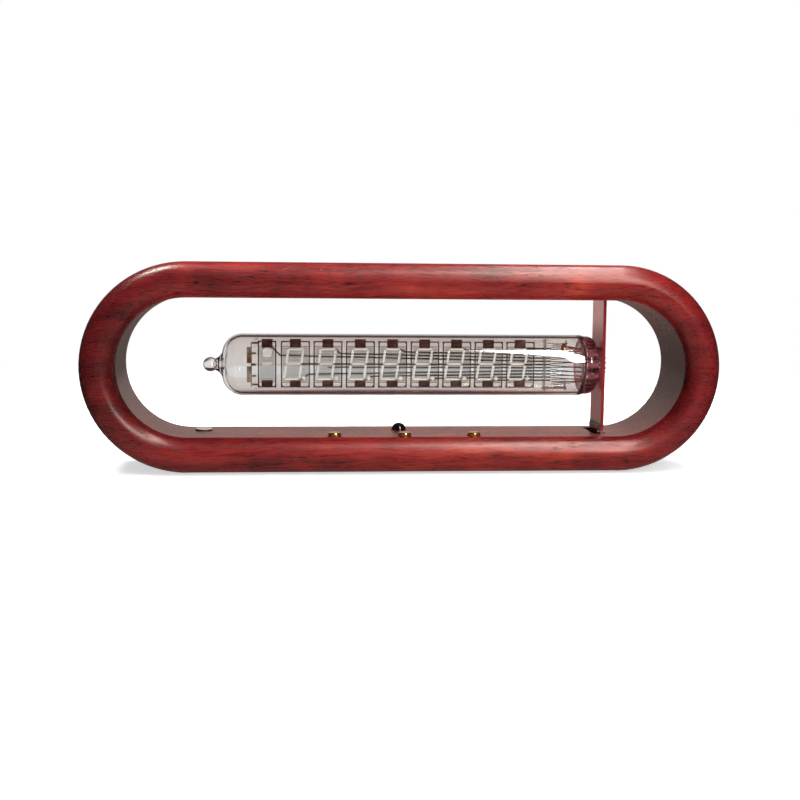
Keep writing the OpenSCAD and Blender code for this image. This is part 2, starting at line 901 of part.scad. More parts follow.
// Leads alternate between the ring's front and back halves, so that no two lie at one height
lead_pairs = lead_count / 2;
function lead_angle(k) =
    let (step = 180 / lead_pairs, low = -90 + (floor(k / 2) + (k % 2 == 0 ? 0.25 : 0.75)) * step)
    k % 2 == 0 ? 180 - low : low;
function lead_y(k) = tube_y + lead_ring * cos(lead_angle(k));
function lead_z(k) = axis_z + lead_ring * sin(lead_angle(k));
function terminal_z(k) = axis_z + (k - (lead_count - 1) / 2) * terminal_pitch;

module mast_board() {
    color("crimson")
        difference() {
            union() {
                block([mast_left, tube_y - mast_w / 2, board_top],
                      [mast_right, tube_y + mast_w / 2, mast_top]);
                block([mast_left, tube_y - tab_w / 2, board_under - tab_reach],
                      [mast_right, tube_y + tab_w / 2, board_top + cut]);
            }
            for (k = [0 : lead_count - 1])
                translate([mast_left - cut, lead_y(k), lead_z(k)])
                    rotate([0, 90, 0])
                        cylinder(r = lead_d / 2 + lead_gap, h = mast_t + 2 * cut, $fn = 24);
            for (s = [-1, 1])
                translate([mast_left - cut, tube_y + mast_w / 2 - via_inset,
                           roof_z - via_drop + s * via_pitch / 2])
                    rotate([0, 90, 0])
                        cylinder(r = via_r, h = mast_t + 2 * cut, $fn = 24);
        }
}

module foot_header() {
    color("black")
        difference() {
            block([mast_left - header_w, pin_y[0] - pin_pitch / 2, board_top],
                  [mast_left, pin_y[pin_count - 1] + pin_pitch / 2, board_top + header_t]);
            for (y = pin_y)
                block([pin_x0 - lead_gap, y - pin_w / 2 - lead_gap, board_top - cut],
                      [pin_x1 + cut, y + pin_w / 2 + lead_gap, board_top + header_t + cut]);
        }
}

module foot_pins() {
    color("silver")
        for (y = pin_y)
            block([pin_x0, y - pin_w / 2, board_top], [pin_x1, y + pin_w / 2, shelf_z + pin_rise]);
}

module foot_solder() {
    color("gainsboro")
        for (y = pin_y)
            difference() {
                translate([mast_left, y, shelf_z + pin_rise - blob_down]) {
                    sphere(blob_r, $fn = 24);
                    translate([0, 0, -blob_skirt])
                        cylinder(r = blob_r, h = blob_skirt, $fn = 24);
                }
                translate([mast_left, y - pin_pitch, shelf_z - rail_t])
                    cube([pin_pitch, 2 * pin_pitch, 2 * rail_t]);
                block([pin_x0, y - pin_w / 2, shelf_z], [pin_x1 + cut, y + pin_w / 2, shelf_z + pin_rise]);
            }
}

// Half section of the glass outside: pressed base, barrel, dome and nub
module glass_outside() {
    difference() {
        union() {
            translate([0, base_r])
                square([base_out_r, base_t - base_r + cut]);
            square([base_out_r - base_r, base_t]);
            intersection() {
                translate([base_out_r - base_r, base_r])
                    circle(base_r);
                square([base_out_r, base_t]);
            }
            translate([0, base_t])
                square([tube_r, tube_len - dome_r - base_t]);
            intersection() {
                translate(shoulder)
                    circle(dome_r);
                square([tube_r, tube_len]);
            }
            translate([0, shoulder[1]])
                square([shoulder[0], dome_r]);
            polygon([[0, shoulder[1]], shoulder, flare_at, [0, flare_at[1]]]);
            square([neck_r, nub_end - nub_r]);
            intersection() {
                translate([0, nub_end - nub_r])
                    circle(nub_r);
                square([nub_r, nub_end]);
            }
        }
        translate(flare_at)
            circle(neck_flare);
    }
}

// Half section of the vacuum inside the glass
module glass_inside() {
    top = tube_len - glass_t;
    r = dome_r - glass_t;
    union() {
        translate([0, base_t])
            square([cavity_r - cavity_corner, cavity_corner]);
        intersection() {
            translate([cavity_r - cavity_corner, base_t + cavity_corner])
                circle(cavity_corner);
            translate([0, base_t])
                square([cavity_r, cavity_corner]);
        }
        translate([0, base_t + cavity_corner])
            square([cavity_r, top - r - base_t - cavity_corner]);
        intersection() {
            translate([cavity_r - r, top - r])
                circle(r);
            square([cavity_r, top]);
        }
        translate([0, top - r])
            square([cavity_r - r, r]);
        square([channel_r, tube_len + channel_len - channel_r]);
        intersection() {
            translate([0, tube_len + channel_len - channel_r])
                circle(channel_r);
            square([channel_r, nub_end]);
        }
    }
}

module glass_envelope() {
    color("lightcyan", 0.3)
        on_tube_axis()
            difference() {
                rotate_extrude($fn = 96)
                    glass_outside();
                rotate_extrude($fn = 96)
                    difference() {
                        glass_inside();
                        translate([-cut, -cut])
                            square([channel_r + 2 * cut, base_t + cut]);
                    }
                for (k = [0 : lead_count - 1])
                    translate([lead_z(k) - axis_z, lead_y(k) - tube_y, -cut])
                        cylinder(r = lead_d / 2 + lead_gap, h = base_t + 2 * cut, $fn = 24);
            }
}

module lead_wires() {
    color("silver")
        for (k = [0 : lead_count - 1])
            union() {
                bar([lead_knee_x, lead_y(k), lead_z(k)], [lead_end_x, lead_y(k), lead_z(k)], lead_d);
                translate([lead_knee_x, lead_y(k), lead_z(k)])
                    sphere(d = lead_d, $fn = 16);
                bar([plate_x1 + terminal_gap, plate_y + plate_t / 2, terminal_z(k)],
                    [lead_knee_x, lead_y(k), lead_z(k)], lead_d * lead_thin);
            }
}

module lead_solder() {
    fillet_r = [0.75, lead_d / 2 + 0.1];
    fillet_h = 0.5;
    color("gainsboro")
        for (k = [0 : lead_count - 1])
            translate([mast_right, lead_y(k), lead_z(k)])
                rotate([0, 90, 0])
                    difference() {
                        cylinder(r1 = fillet_r[0], r2 = fillet_r[1], h = fillet_h, $fn = 24);
                        translate([0, 0, -cut])
                            cylinder(r = lead_d / 2 + lead_gap, h = fillet_h + 2 * cut, $fn = 24);
                    }
}

module anode_plate() {
    color("aliceblue", 0.4)
        upright(plate_y, plate_t)
            rounded(plate_x0, plate_x1, axis_z - plate_h / 2, axis_z + plate_h / 2, plate_r);
}

// Outline of one stroke of a digit, from (x0, z0) to (x1, z1), with pointed ends
module stroke_shape(x0, z0, x1, z1) {
    h = stroke / 2;
    flat = z0 == z1;
    gap = print_gap / 2;
    polygon(flat
        ? [leaning(x0 + gap, z0), leaning(x0 + gap + h, z0 + h), leaning(x1 - gap - h, z0 + h),
           leaning(x1 - gap, z0), leaning(x1 - gap - h, z0 - h), leaning(x0 + gap + h, z0 - h)]
        : [leaning(x0, z0 + gap), leaning(x0 + h, z0 + gap + h), leaning(x0 + h, z1 - gap - h),
           leaning(x0, z1 - gap), leaning(x0 - h, z1 - gap - h), leaning(x0 - h, z0 + gap + h)]);
}

module digit_shape(x) {
    left = x - digit_left - (digit_w - stroke) / 2;
    right = left + digit_w - stroke;
    reach = (digit_h - stroke) / 2;
    for (z = [axis_z - reach, axis_z, axis_z + reach])
        stroke_shape(left, z, right, z);
    for (side = [left, right]) {
        stroke_shape(side, axis_z - reach, side, axis_z);
        stroke_shape(side, axis_z, side, axis_z + reach);
    }
    translate(leaning(right + dot_away, axis_z - reach + dot_up))
        rotate(45)
            square(dot_size, center = true);
}

module phosphor_digits() {
    color("ivory")
        upright(plate_y - film_t, film_t)
            for (x = digit_x)
                digit_shape(x);
}

module phosphor_sign() {
    color("ivory")
        upright(plate_y - film_t, film_t) {
            translate([sign_x, axis_z + disc_up])
                circle(disc_r, $fn = 32);
            translate([sign_x, axis_z])
                square([bar_w, stroke], center = true);
        }
}

// Heading of the stretch of a path that starts at its point i
function heading(path, i) =
    let (way = path[i + 1] - path[i])
    atan2(way[1], way[0]);

// Point of a mitred edge that runs beside a path at a distance, next to its point i
function beside(path, i, away) =
    let (before = heading(path, max(i - 1, 0)), after = heading(path, min(i, len(path) - 2)))
    path[i] + away / cos((after - before) / 2) * [-sin((before + after) / 2), cos((before + after) / 2)];

// One printed conductor through a list of [x, z] points
module trace(path) {
    last = len(path) - 1;
    polygon(concat(
        [for (i = [0 : last]) beside(path, i, strip_w / 2)],
        [for (i = [last : -1 : 0]) beside(path, i, -strip_w / 2)]
    ));
}

// Conductors printed on the back of the plate. Each starts as a strip at the right end. The outer strips
// turn off to the nearest pads and the inner ones run on to the pads further left. Those that find no pad
// serve the strokes of the digits.
module conductor_traces() {
    middle = (strip_count - 1) / 2;
    color("dimgray")
        upright(plate_back_y, film_t)
            for (j = [0 : strip_count - 1]) {
                z = axis_z + (j - middle) * strip_pitch;
                side = j < middle ? -1 : 1;
                away = abs(j - middle);
                pad = digit_count - 2 * (middle - away) - (side > 0 ? 0 : 1);
                end_z = axis_z + side * pad_low;
                if (pad >= 0) {
                    end_x = grid_x[pad] + pad_size[0] / 2;
                    trace([[end_x, end_z], [end_x + turn_len, end_z + (z - end_z) * turn_share],
                           [strip_x, z], [plate_x1, z]]);
                } else
                    trace([[digit_x[min(away, digit_count - 1)], z], [plate_x1, z]]);
            }
}

module frit_pads() {
    color("saddlebrown")
        for (x = grid_x, s = [-1, 1])
            difference() {
                block([x - pad_size[0] / 2, plate_y - pad_size[1],
                       axis_z + (s > 0 ? pad_low : -pad_low - pad_size[2])],
                      [x + pad_size[0] / 2, plate_y,
                       axis_z + (s > 0 ? pad_low + pad_size[2] + pad_cap : -pad_low)]);
                translate([x - leg_w / 2 - slot_gap[0], plate_y - pad_size[1] - cut,
                           axis_z + s * leg_z - slot_gap[2] / 2])
                    cube([leg_w + 2 * slot_gap[0], pad_size[1] + cut - slot_gap[1], slot_gap[2]]);
            }
}

// One control grid, etched from one sheet: a hexagonal mesh between two crossbars, an open window at each
// side of the tabs, a solid border all round, a leg bent back from each tab into its frit pad, and a short
// foot at each corner that stands on the plate
module control_grid(x, w) {
    row_pitch = mesh_pitch * sin(60);
    rows = floor((field_h - 2 * grid_border) / row_pitch);
    columns = floor((w - 2 * grid_border) / mesh_pitch - 0.5);
    hole_r = (mesh_pitch - mesh_wire) / 2 / cos(30);
    window = [w / 2 - grid_border - leg_w / 2, (grid_h - field_h) / 2 - grid_border];
    color("slategray")
        union() {
            upright(grid_y - grid_t, grid_t)
                difference() {
                    translate([x, axis_z])
                        square([w, grid_h], center = true);
                    for (row = [0 : rows - 1], column = [0 : columns - 1])
                        translate([x + (column - (columns - 0.5) / 2 + (row % 2) * 0.5) * mesh_pitch,
                                   axis_z + (row - (rows - 1) / 2) * row_pitch])
                            rotate(30)
                                circle(hole_r, $fn = 6);
                    for (s = [-1, 1], side = [-1, 1])
                        translate([x + side * (leg_w + window[0]) / 2,
                                   axis_z + s * (field_h + window[1]) / 2])
                            square(window, center = true);
                }
            for (s = [-1, 1])
                translate([x - leg_w / 2, grid_y - grid_t, axis_z + s * leg_z - grid_t / 2])
                    cube([leg_w, grid_lift + grid_t - slot_gap[1] - slot_gap[0], grid_t]);
            for (s = [-1, 1], side = [-1, 1])
                translate([x + side * (w - corner_w) / 2 - corner_w / 2, grid_y - grid_t,
                           axis_z + s * (grid_h - corner_w) / 2 - corner_w / 2])
                    cube([corner_w, grid_lift + grid_t, corner_w]);
        }
}

module grid_sign() {
    control_grid(sign_x, sign_grid_w);
}

module grid_over(k) {
    if (k <= digit_count)
        control_grid(digit_x[k - 1], grid_w);
}

module filament_wires() {
    color("gray")
        for (z = wire_z)
            bar([mount_x + spring_len, filament_y, z], [anchor_x, filament_y, z], filament_d);
}

// Each filament hangs on a flat spring tongue that leans out from the mount
module filament_springs() {
    color("silver")
        for (z = wire_z)
            block([mount_x + sheet_t, filament_y - spring_t / 2, z - spring_w / 2],
                  [mount_x + spring_len, filament_y + spring_t / 2, z + spring_w / 2]);
}

// Upright sheet-metal frame at the dome's end: two straps behind the plate, and two leaves bent from its
// front edge towards the dome
module spring_mount() {
    color("gray")
        difference() {
            union() {
                block([mount_x, filament_y - support_front, axis_z - mount_h / 2],
                      [mount_x + sheet_t, plate_back_y + mount_back, axis_z + mount_h / 2]);
                for (s = [-1, 1])
                    block([mount_x, plate_back_y, axis_z + s * strap_z - strap_w / 2],
                          [plate_x0 + strap_len, plate_back_y + sheet_t, axis_z + s * strap_z + strap_w / 2]);
                for (s = [0, 1])
                    translate([0, 0, axis_z])
                        mirror([0, 0, s])
                            block([mount_x - leaf_w, filament_y - support_front, leaf_z[0]],
                                  [mount_x + sheet_t, filament_y - support_front + sheet_t, leaf_z[1]]);
            }
            block([mount_x - cut, filament_y + support_front, axis_z - mount_window],
                  [mount_x + cut, plate_y - support_front, axis_z + mount_window]);
        }
}

// Anchor of the filaments at the base's end: a wall in front of the plate, ears and lips that grip the
// plate's edges, and two wings that run on past the plate and end in lugs
module filament_anchor() {
    color("gray")
        difference() {
            union() {
                block([anchor_x, filament_y - support_front, axis_z - anchor_top],
                      [anchor_x + sheet_t, plate_y - hold_gap, axis_z + anchor_top]);
                for (s = [0, 1])
                    translate([0, 0, axis_z])
                        mirror([0, 0, s])
                            anchor_side();
            }
            block([anchor_x - cut, filament_y + support_front, axis_z - anchor_window],
                  [anchor_x + cut, plate_y - support_front, axis_z + anchor_window]);
        }
}

module anchor_side() {
    block([anchor_x, plate_y - hold_len, anchor_top - hold_t],
          [anchor_x + hold_len, plate_back_y + hold_gap + hold_t, anchor_top]);
    block([anchor_x, plate_back_y + hold_gap, anchor_top - hold_lip],
          [anchor_x + hold_len, plate_back_y + hold_gap + hold_t, anchor_top]);
    block([anchor_x, wing_y[0], wing_z], [wing_x, wing_y[1], wing_z + sheet_t]);
    block([wing_x - sheet_t, lug_y[0], lug_z[0]], [wing_x, lug_y[1], lug_z[1]]);
}

module plate_clips() {
    color("gray")
        for (x = [plate_x0 + clip_inset, plate_x1 - clip_inset - clip_len], s = [0, 1])
            translate([0, 0, axis_z])
                mirror([0, 0, s])
                    block([x, plate_y - clip_reach, plate_h / 2 + hold_gap],
                          [x + clip_len, plate_back_y + clip_reach, plate_h / 2 + hold_gap + hold_t]);
}

// Ring of getter metal under the upper wing
module getter_ring() {
    color("darkgoldenrod")
        translate([getter_x, getter_y, axis_z + wing_z - getter_r])
            rotate([0, 90, 0])
                rotate_extrude()
                    translate([getter_r - getter_size[0] / 2, 0])
                        square(getter_size, center = true);
}

wood_frame();
bottom_cover();
cover_screws();
rubber_feet();
main_board();
board_screws();
processor_chip();
driver_chip();
chip_legs();
boost_inductor();
smoothing_capacitors();
clock_crystal();
coin_cell();
cell_clip();
socket_shell();
socket_tongue();
switch_bodies();
switch_plunger(0);  // switch_plunger_left
switch_plunger(1);  // switch_plunger_middle
switch_plunger(2);  // switch_plunger_right
brass_button(0);  // brass_button_left
brass_button(1);  // brass_button_middle
brass_button(2);  // brass_button_right
infrared_receiver();
light_sensor();
sensor_sleeve();
mast_board();
foot_header();
foot_pins();
foot_solder();
glass_envelope();
lead_wires();
lead_solder();
anode_plate();
conductor_traces();
phosphor_digits();
phosphor_sign();
frit_pads();
grid_sign();
grid_over(1);  // grid_1
grid_over(2);  // grid_2
grid_over(3);  // grid_3
grid_over(4);  // grid_4
grid_over(5);  // grid_5
grid_over(6);  // grid_6
grid_over(7);  // grid_7
grid_over(8);  // grid_8
filament_wires();
filament_springs();
spring_mount();
filament_anchor();
plate_clips();
getter_ring();
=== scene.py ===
"""Looks of a desk clock: a long display tube in a racetrack loop of red hardwood.

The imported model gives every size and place. Each sub-assembly is a class that models what the
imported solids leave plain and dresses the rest. Millimetres are used for sizes and patterns, and
turned to metres where they reach Blender.
"""

from __future__ import annotations

import logging
import math
from dataclasses import dataclass, field
from enum import Enum
from typing import Any, Callable, ClassVar, Sequence

import bpy
from mathutils import Matrix, Vector

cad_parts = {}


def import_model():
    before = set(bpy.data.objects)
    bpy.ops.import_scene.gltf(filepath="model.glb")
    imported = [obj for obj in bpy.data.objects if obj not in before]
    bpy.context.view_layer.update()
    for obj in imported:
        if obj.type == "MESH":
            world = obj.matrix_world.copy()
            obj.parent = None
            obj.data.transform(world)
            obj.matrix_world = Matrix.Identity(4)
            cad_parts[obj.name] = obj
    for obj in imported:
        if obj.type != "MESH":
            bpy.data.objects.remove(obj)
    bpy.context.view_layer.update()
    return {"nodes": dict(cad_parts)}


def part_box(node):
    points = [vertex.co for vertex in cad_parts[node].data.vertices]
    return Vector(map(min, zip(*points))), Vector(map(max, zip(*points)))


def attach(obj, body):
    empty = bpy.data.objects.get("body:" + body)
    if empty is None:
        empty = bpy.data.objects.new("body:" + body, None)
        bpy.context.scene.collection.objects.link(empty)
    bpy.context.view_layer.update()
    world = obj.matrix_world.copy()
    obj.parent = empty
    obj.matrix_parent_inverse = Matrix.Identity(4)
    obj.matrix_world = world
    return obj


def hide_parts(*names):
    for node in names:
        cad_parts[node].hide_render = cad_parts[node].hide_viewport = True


LOG = logging.getLogger("clock")
MM = 0.001
# A wave texture of scale 1 repeats after this many units.
WAVE_PERIOD = 0.314

Socket = bpy.types.NodeSocket
Point = tuple[float, float, float]
Flat = tuple[float, float]


def linear(code: str) -> tuple[float, float, float, float]:
    """Turns an sRGB colour into the linear one that shaders use.

    Args:
        code: six hex digits, such as "A81C20".

    Returns:
        Linear red, green, blue and an alpha of 1.
    """
    parts = [int(code[i:i + 2], 16) / 255 for i in (0, 2, 4)]
    r, g, b = (c / 12.92 if c <= 0.04045 else ((c + 0.055) / 1.055) ** 2.4 for c in parts)
    return (r, g, b, 1.0)


class Body(Enum):
    """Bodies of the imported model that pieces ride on."""

    CLOCK = "clock_body"


class Ray(Enum):
    """Kinds of ray that the studio and the glass tell apart."""

    CAMERA = "Is Camera Ray"
    GLOSSY = "Is Glossy Ray"
    TRANSMISSION = "Is Transmission Ray"
    SHADOW = "Is Shadow Ray"
    SCATTERED = "Diffuse Depth"


class Shader:
    """Node tree of one material or world while it is wired."""

    def __init__(self, tree: bpy.types.NodeTree, out_kind: str) -> None:
        """Empties the tree and gives it its output.

        Args:
            tree: the node tree to wire.
            out_kind: the output node's kind, without its ShaderNode prefix.
        """
        self.tree = tree
        tree.nodes.clear()
        self.out = tree.nodes.new("ShaderNode" + out_kind)

    def add(self, kind: str, inputs: dict[str | int, Any] | None = None, output: str | int = 0,
            stops: Sequence[tuple[float, str]] = (), **settings: Any) -> Socket:
        """Adds a node with its settings and links.

        Args:
            kind: the node's kind, without its ShaderNode prefix.
            inputs: what each input holds: a socket to link, a hex colour or a value.
            output: the output to give back, by name or place.
            stops: places and hex colours of a colour ramp.
            settings: properties of the node.

        Returns:
            The chosen output socket.
        """
        node = self.tree.nodes.new("ShaderNode" + kind)
        for name, value in settings.items():
            setattr(node, name, value)
        for key, value in (inputs or {}).items():
            if isinstance(value, Socket):
                self.tree.links.new(value, node.inputs[key])
            else:
                node.inputs[key].default_value = linear(value) if isinstance(value, str) else value
        if stops:
            ramp = node.color_ramp.elements
            while len(ramp) < len(stops):
                ramp.new(1.0)
            for element, (place, code) in zip(ramp, stops):
                element.position = place
                element.color = linear(code)
        return node.outputs[output]

    def millimetres(self, scale: Point = (1.0, 1.0, 1.0), shift: Point = (0.0, 0.0, 0.0)) -> Socket:
        """Gives the place on the object in millimetres, for patterns with a real size.

        Args:
            scale: further factor along X, Y and Z, below 1 where a pattern is drawn out.
            shift: place of the pattern's own origin.

        Returns:
            A vector socket.
        """
        place = self.add("TexCoord", output="Object")
        factor = tuple(s / MM for s in scale)
        return self.add("VectorMath", {0: place, 1: factor, 2: shift}, operation="MULTIPLY_ADD")

    def seen(self, ray: Ray) -> Socket:
        """Gives 1 for a kind of ray and 0 for the others, or how often it has scattered."""
        return self.add("LightPath", output=ray.value)

    def mirrored(self) -> Socket:
        """Gives 1 for rays that a polished surface sent back, and 0 for bent ones."""
        return self.add("Math", {0: self.seen(Ray.GLOSSY), 1: self.seen(Ray.TRANSMISSION)},
                        operation="SUBTRACT", use_clamp=True)

    def bent(self) -> Socket:
        """Gives 1 for rays from the camera that glass let through, and 0 for scattered light."""
        return self.add("Math", {0: self.seen(Ray.TRANSMISSION), 1: self.seen(Ray.SCATTERED)},
                        operation="SUBTRACT", use_clamp=True)

    def finish(self, surface: Socket) -> None:
        """Links the surface to the output."""
        self.tree.links.new(surface, self.out.inputs["Surface"])


@dataclass(frozen=True)
class Finish:
    """A surface: what the real material is, and how its surface was made."""

    name: ClassVar[str] = "finish"

    def wire(self, s: Shader) -> Socket:
        """Wires the surface and returns its shader socket."""
        raise NotImplementedError

    def material(self) -> bpy.types.Material:
        """Gives the finish's material, made once and then shared.

        Returns:
            The Blender material.
        """
        made = bpy.data.materials.get(self.name)
        if made is None:
            made = bpy.data.materials.new(self.name)
            made.use_nodes = True
            shader = Shader(made.node_tree, "OutputMaterial")
            shader.finish(self.wire(shader))
        return made


@dataclass(frozen=True)
class OiledPadauk(Finish):
    """Red padauk, sawn with the grain along the clock, sanded and oiled.

    The heartwood gives deep red with orange and near-black bands, open pores give short dark
    dashes along the grain, and the oil gives a satin gloss that turns bright at a shallow angle.
    Towards the round ends the bands calm down and painted shade darkens the wood; where the grain
    is cut across it turns browner. Painted light and shade also make the wood lighter towards +X and
    darker towards -X. The pores are drawn a little wider than real ones, so that they show.
    """

    name: ClassVar[str] = "oiled_padauk"
    dark: str = "3A0A0D"
    middle: str = "6A1316"
    bright: str = "851F1B"
    orange: str = "AE3D24"
    pore: str = "1E0709"
    end_grain: str = "7A5248"
    sheen: str = "FFE6DA"
    band_mm: float = 3.4
    fibre_mm: float = 0.5
    pore_mm: float = 0.36
    draw: float = 22.0
    pore_draw: float = 9.0
    painted_end_shade: float = 0.08
    end_calm: float = 0.5
    band_share: float = 0.42
    fibre_share: float = 0.2
    mottle_share: float = 0.38
    mottle_mm: float = 16.0
    sway_mm: float = 55.0
    sway_reach_mm: float = 9.0
    painted_light_over_mm: float = 1700.0
    pore_relief: float = -1.6
    shift: Point = (0.0, 0.0, 0.0)

    def wire(self, s: Shader) -> Socket:
        """Wires bands, fibres, pores and the oiled surface."""
        drawn = s.millimetres((1 / self.draw, 1.0, 1.0), self.shift)
        plain = s.millimetres((1.0, 1.0, 1.0), self.shift)
        sway = s.add("TexNoise", {"Vector": plain, "Scale": 1 / self.sway_mm, "Detail": 2.0},
                     output="Color")
        reach = (0.0, self.sway_reach_mm, self.sway_reach_mm)
        bent = s.add("VectorMath", {0: sway, 1: reach, 2: drawn}, operation="MULTIPLY_ADD")
        bands = s.add("TexNoise", {"Vector": bent, "Scale": 1 / self.band_mm, "Detail": 3.0,
                                   "Roughness": 0.55, "Distortion": 0.4})
        fibres = s.add("TexNoise", {"Vector": bent, "Scale": 1 / self.fibre_mm, "Detail": 3.0,
                                    "Roughness": 0.7})
        mottle = s.add("TexNoise", {"Vector": plain, "Scale": 1 / self.mottle_mm, "Detail": 3.0,
                                    "Roughness": 0.6})
        along = s.add("SeparateXYZ", {0: plain})
        # Painted light and shade: the wood is made lighter towards +X and darker towards -X.
        mixed = s.add("Math", {0: along, 1: 1 / self.painted_light_over_mm}, operation="MULTIPLY")
        for part, share in ((bands, self.band_share), (fibres, self.fibre_share),
                            (mottle, self.mottle_share)):
            mixed = s.add("Math", {0: part, 1: share, 2: mixed}, operation="MULTIPLY_ADD")
        apart = s.add("Math", {0: along}, operation="ABSOLUTE")
        # Painted shade: the wood is darkened towards the round ends.
        ends = s.add("MapRange", {"Value": apart, "From Min": 55.0, "From Max": 95.0, "To Min": 0.0,
                                  "To Max": -self.painted_end_shade})
        calm = s.add("MapRange", {"Value": apart, "From Min": 60.0, "From Max": 82.0,
                                  "To Max": self.end_calm})
        mixed = s.add("Mix", {0: calm, 2: mixed, 3: 0.5}, data_type="FLOAT")
        mixed = s.add("Math", {0: mixed, 1: ends}, operation="ADD")
        colour = s.add("ValToRGB", {0: mixed}, stops=[
            (0.33, self.dark), (0.46, self.middle), (0.57, self.bright), (0.7, self.orange)])
        dashed = s.millimetres((1 / self.pore_draw, 1.0, 1.0), self.shift)
        dashes = s.add("TexNoise", {"Vector": dashed, "Scale": 1 / self.pore_mm, "Detail": 1.0})
        pores = s.add("MapRange", {"Value": dashes, "From Min": 0.62, "From Max": 0.66})
        where = s.add("MapRange", {"Value": bands, "From Min": 0.6, "From Max": 0.48})
        pores = s.add("Math", {0: pores, 1: where}, operation="MULTIPLY")
        colour = s.add("Mix", {0: pores, 6: colour, 7: self.pore}, output=2, data_type="RGBA")
        facing = s.add("SeparateXYZ", {0: s.add("NewGeometry", output="Normal")})
        facing = s.add("Math", {0: facing, 1: facing}, operation="MULTIPLY")
        colour = s.add("Mix", {0: facing, 6: colour, 7: self.end_grain}, output=2, data_type="RGBA",
                       blend_type="MULTIPLY")
        relief = s.add("Math", {0: pores, 1: self.pore_relief, 2: fibres}, operation="MULTIPLY_ADD")
        bump = s.add("Bump", {"Strength": 0.35, "Distance": 0.04 * MM, "Height": relief})
        rough = s.add("MapRange", {"Value": fibres, "From Min": 0.3, "From Max": 0.7,
                                   "To Min": 0.24, "To Max": 0.34})
        return s.add("BsdfPrincipled", {
            "Base Color": colour, "Roughness": rough, "IOR": 1.5, "Normal": bump,
            "Specular Tint": self.sheen})


@dataclass(frozen=True)
class CoverPadauk(OiledPadauk):
    """The same wood, from another plank, for the bottom cover: darker."""

    name: ClassVar[str] = "cover_padauk"
    bright: str = "7C2420"
    orange: str = "8E3022"
    shift: Point = (310.0, 47.0, -83.0)


@dataclass(frozen=True)
class SolderMask(Finish):
    """Red solder mask, screened over a glass-epoxy board and cured.

    It is a glossy translucent coat, so the copper lines under it show as paler lines, and its
    faces mirror the pale surroundings at a shallow angle. The cut edges at the front and the back
    are bare of it and duller.
    """

    name: ClassVar[str] = "red_solder_mask"
    mask: str = "BE0E22"
    over_copper: str = "C81B2A"
    cut_edge: str = "B08C8C"
    line_mm: float = 1.27
    weave_mm: float = 0.6
    patch_mm: float = 7.0

    def wire(self, s: Shader) -> Socket:
        """Wires the lines under the mask and its gloss."""
        place = s.millimetres()
        line = s.add("TexWave", {"Vector": place, "Scale": WAVE_PERIOD / self.line_mm,
                                 "Distortion": 0.0}, output="Fac", bands_direction="Y", wave_profile="SIN")
        copper = s.add("MapRange", {"Value": line, "From Min": 0.62, "From Max": 0.72})
        patch = s.add("TexNoise", {"Vector": place, "Scale": 1 / self.patch_mm, "Detail": 1.0})
        patch = s.add("MapRange", {"Value": patch, "From Min": 0.45, "From Max": 0.5})
        copper = s.add("Math", {0: copper, 1: patch}, operation="MULTIPLY")
        colour = s.add("Mix", {0: copper, 6: self.mask, 7: self.over_copper}, output=2,
                       data_type="RGBA")
        facing = s.add("SeparateXYZ", {0: s.add("NewGeometry", output="Normal")}, output="Y")
        facing = s.add("Math", {0: facing, 1: facing}, operation="MULTIPLY")
        colour = s.add("Mix", {0: facing, 6: colour, 7: self.cut_edge}, output=2, data_type="RGBA",
                       blend_type="MULTIPLY")
        weave = s.add("TexNoise", {"Vector": place, "Scale": 1 / self.weave_mm, "Detail": 2.0})
        relief = s.add("Math", {0: copper, 1: 0.5, 2: weave}, operation="MULTIPLY_ADD")
        bump = s.add("Bump", {"Strength": 0.12, "Distance": 0.03 * MM, "Height": relief})
        return s.add("BsdfPrincipled", {
            "Base Color": colour, "Roughness": 0.3, "IOR": 1.5, "Normal": bump,
            "Coat Weight": 1.0, "Coat IOR": 1.7, "Coat Roughness": 0.04})


@dataclass(frozen=True)
class Metal(Finish):
    """A metal with a fine worked surface. Its grain breaks the gloss into small facets.

    Real marks are too fine to show, so they are drawn as coarse as they need to be.
    """

    name: ClassVar[str] = "metal"
    colour: str = "C9C8C4"
    stain: str = "A9A7A1"
    rough: float = 0.3
    grain_mm: float = 0.3
    depth_mm: float = 0.008
    draw: Point = (1.0, 1.0, 1.0)

    def wire(self, s: Shader) -> Socket:
        """Wires the worked grain, its stains and the metal."""
        place = s.millimetres(self.draw)
        grain = s.add("TexNoise", {"Vector": place, "Scale": 1 / self.grain_mm, "Detail": 3.0,
                                   "Roughness": 0.6})
        patch = s.add("TexNoise", {"Vector": place, "Scale": 0.2 / self.grain_mm, "Detail": 2.0})
        patch = s.add("MapRange", {"Value": patch, "From Min": 0.42, "From Max": 0.66})
        colour = s.add("Mix", {0: patch, 6: self.colour, 7: self.stain}, output=2, data_type="RGBA")
        rough = s.add("MapRange", {"Value": grain, "From Min": 0.3, "From Max": 0.7,
                                   "To Min": self.rough * 0.75, "To Max": self.rough * 1.25})
        bump = s.add("Bump", {"Strength": 0.3, "Distance": self.depth_mm * MM, "Height": grain})
        return s.add("BsdfPrincipled", {
            "Base Color": colour, "Metallic": 1.0, "Roughness": rough, "Normal": bump})


@dataclass(frozen=True)
class TurnedBrass(Metal):
    """Brass, turned on a lathe and polished: warm gold, with rings too fine to see one by one."""

    name: ClassVar[str] = "turned_brass"
    colour: str = "E2BD78"
    stain: str = "D3A562"
    rough: float = 0.2
    grain_mm: float = 0.25
    draw: Point = (1.0, 1.0, 3.0)


@dataclass(frozen=True)
class TinnedCopper(Metal):
    """Copper wire dipped in tin: pale grey, smooth and slightly uneven."""

    name: ClassVar[str] = "tinned_copper"
    colour: str = "CFCDC8"
    stain: str = "B7B3AB"
    rough: float = 0.24


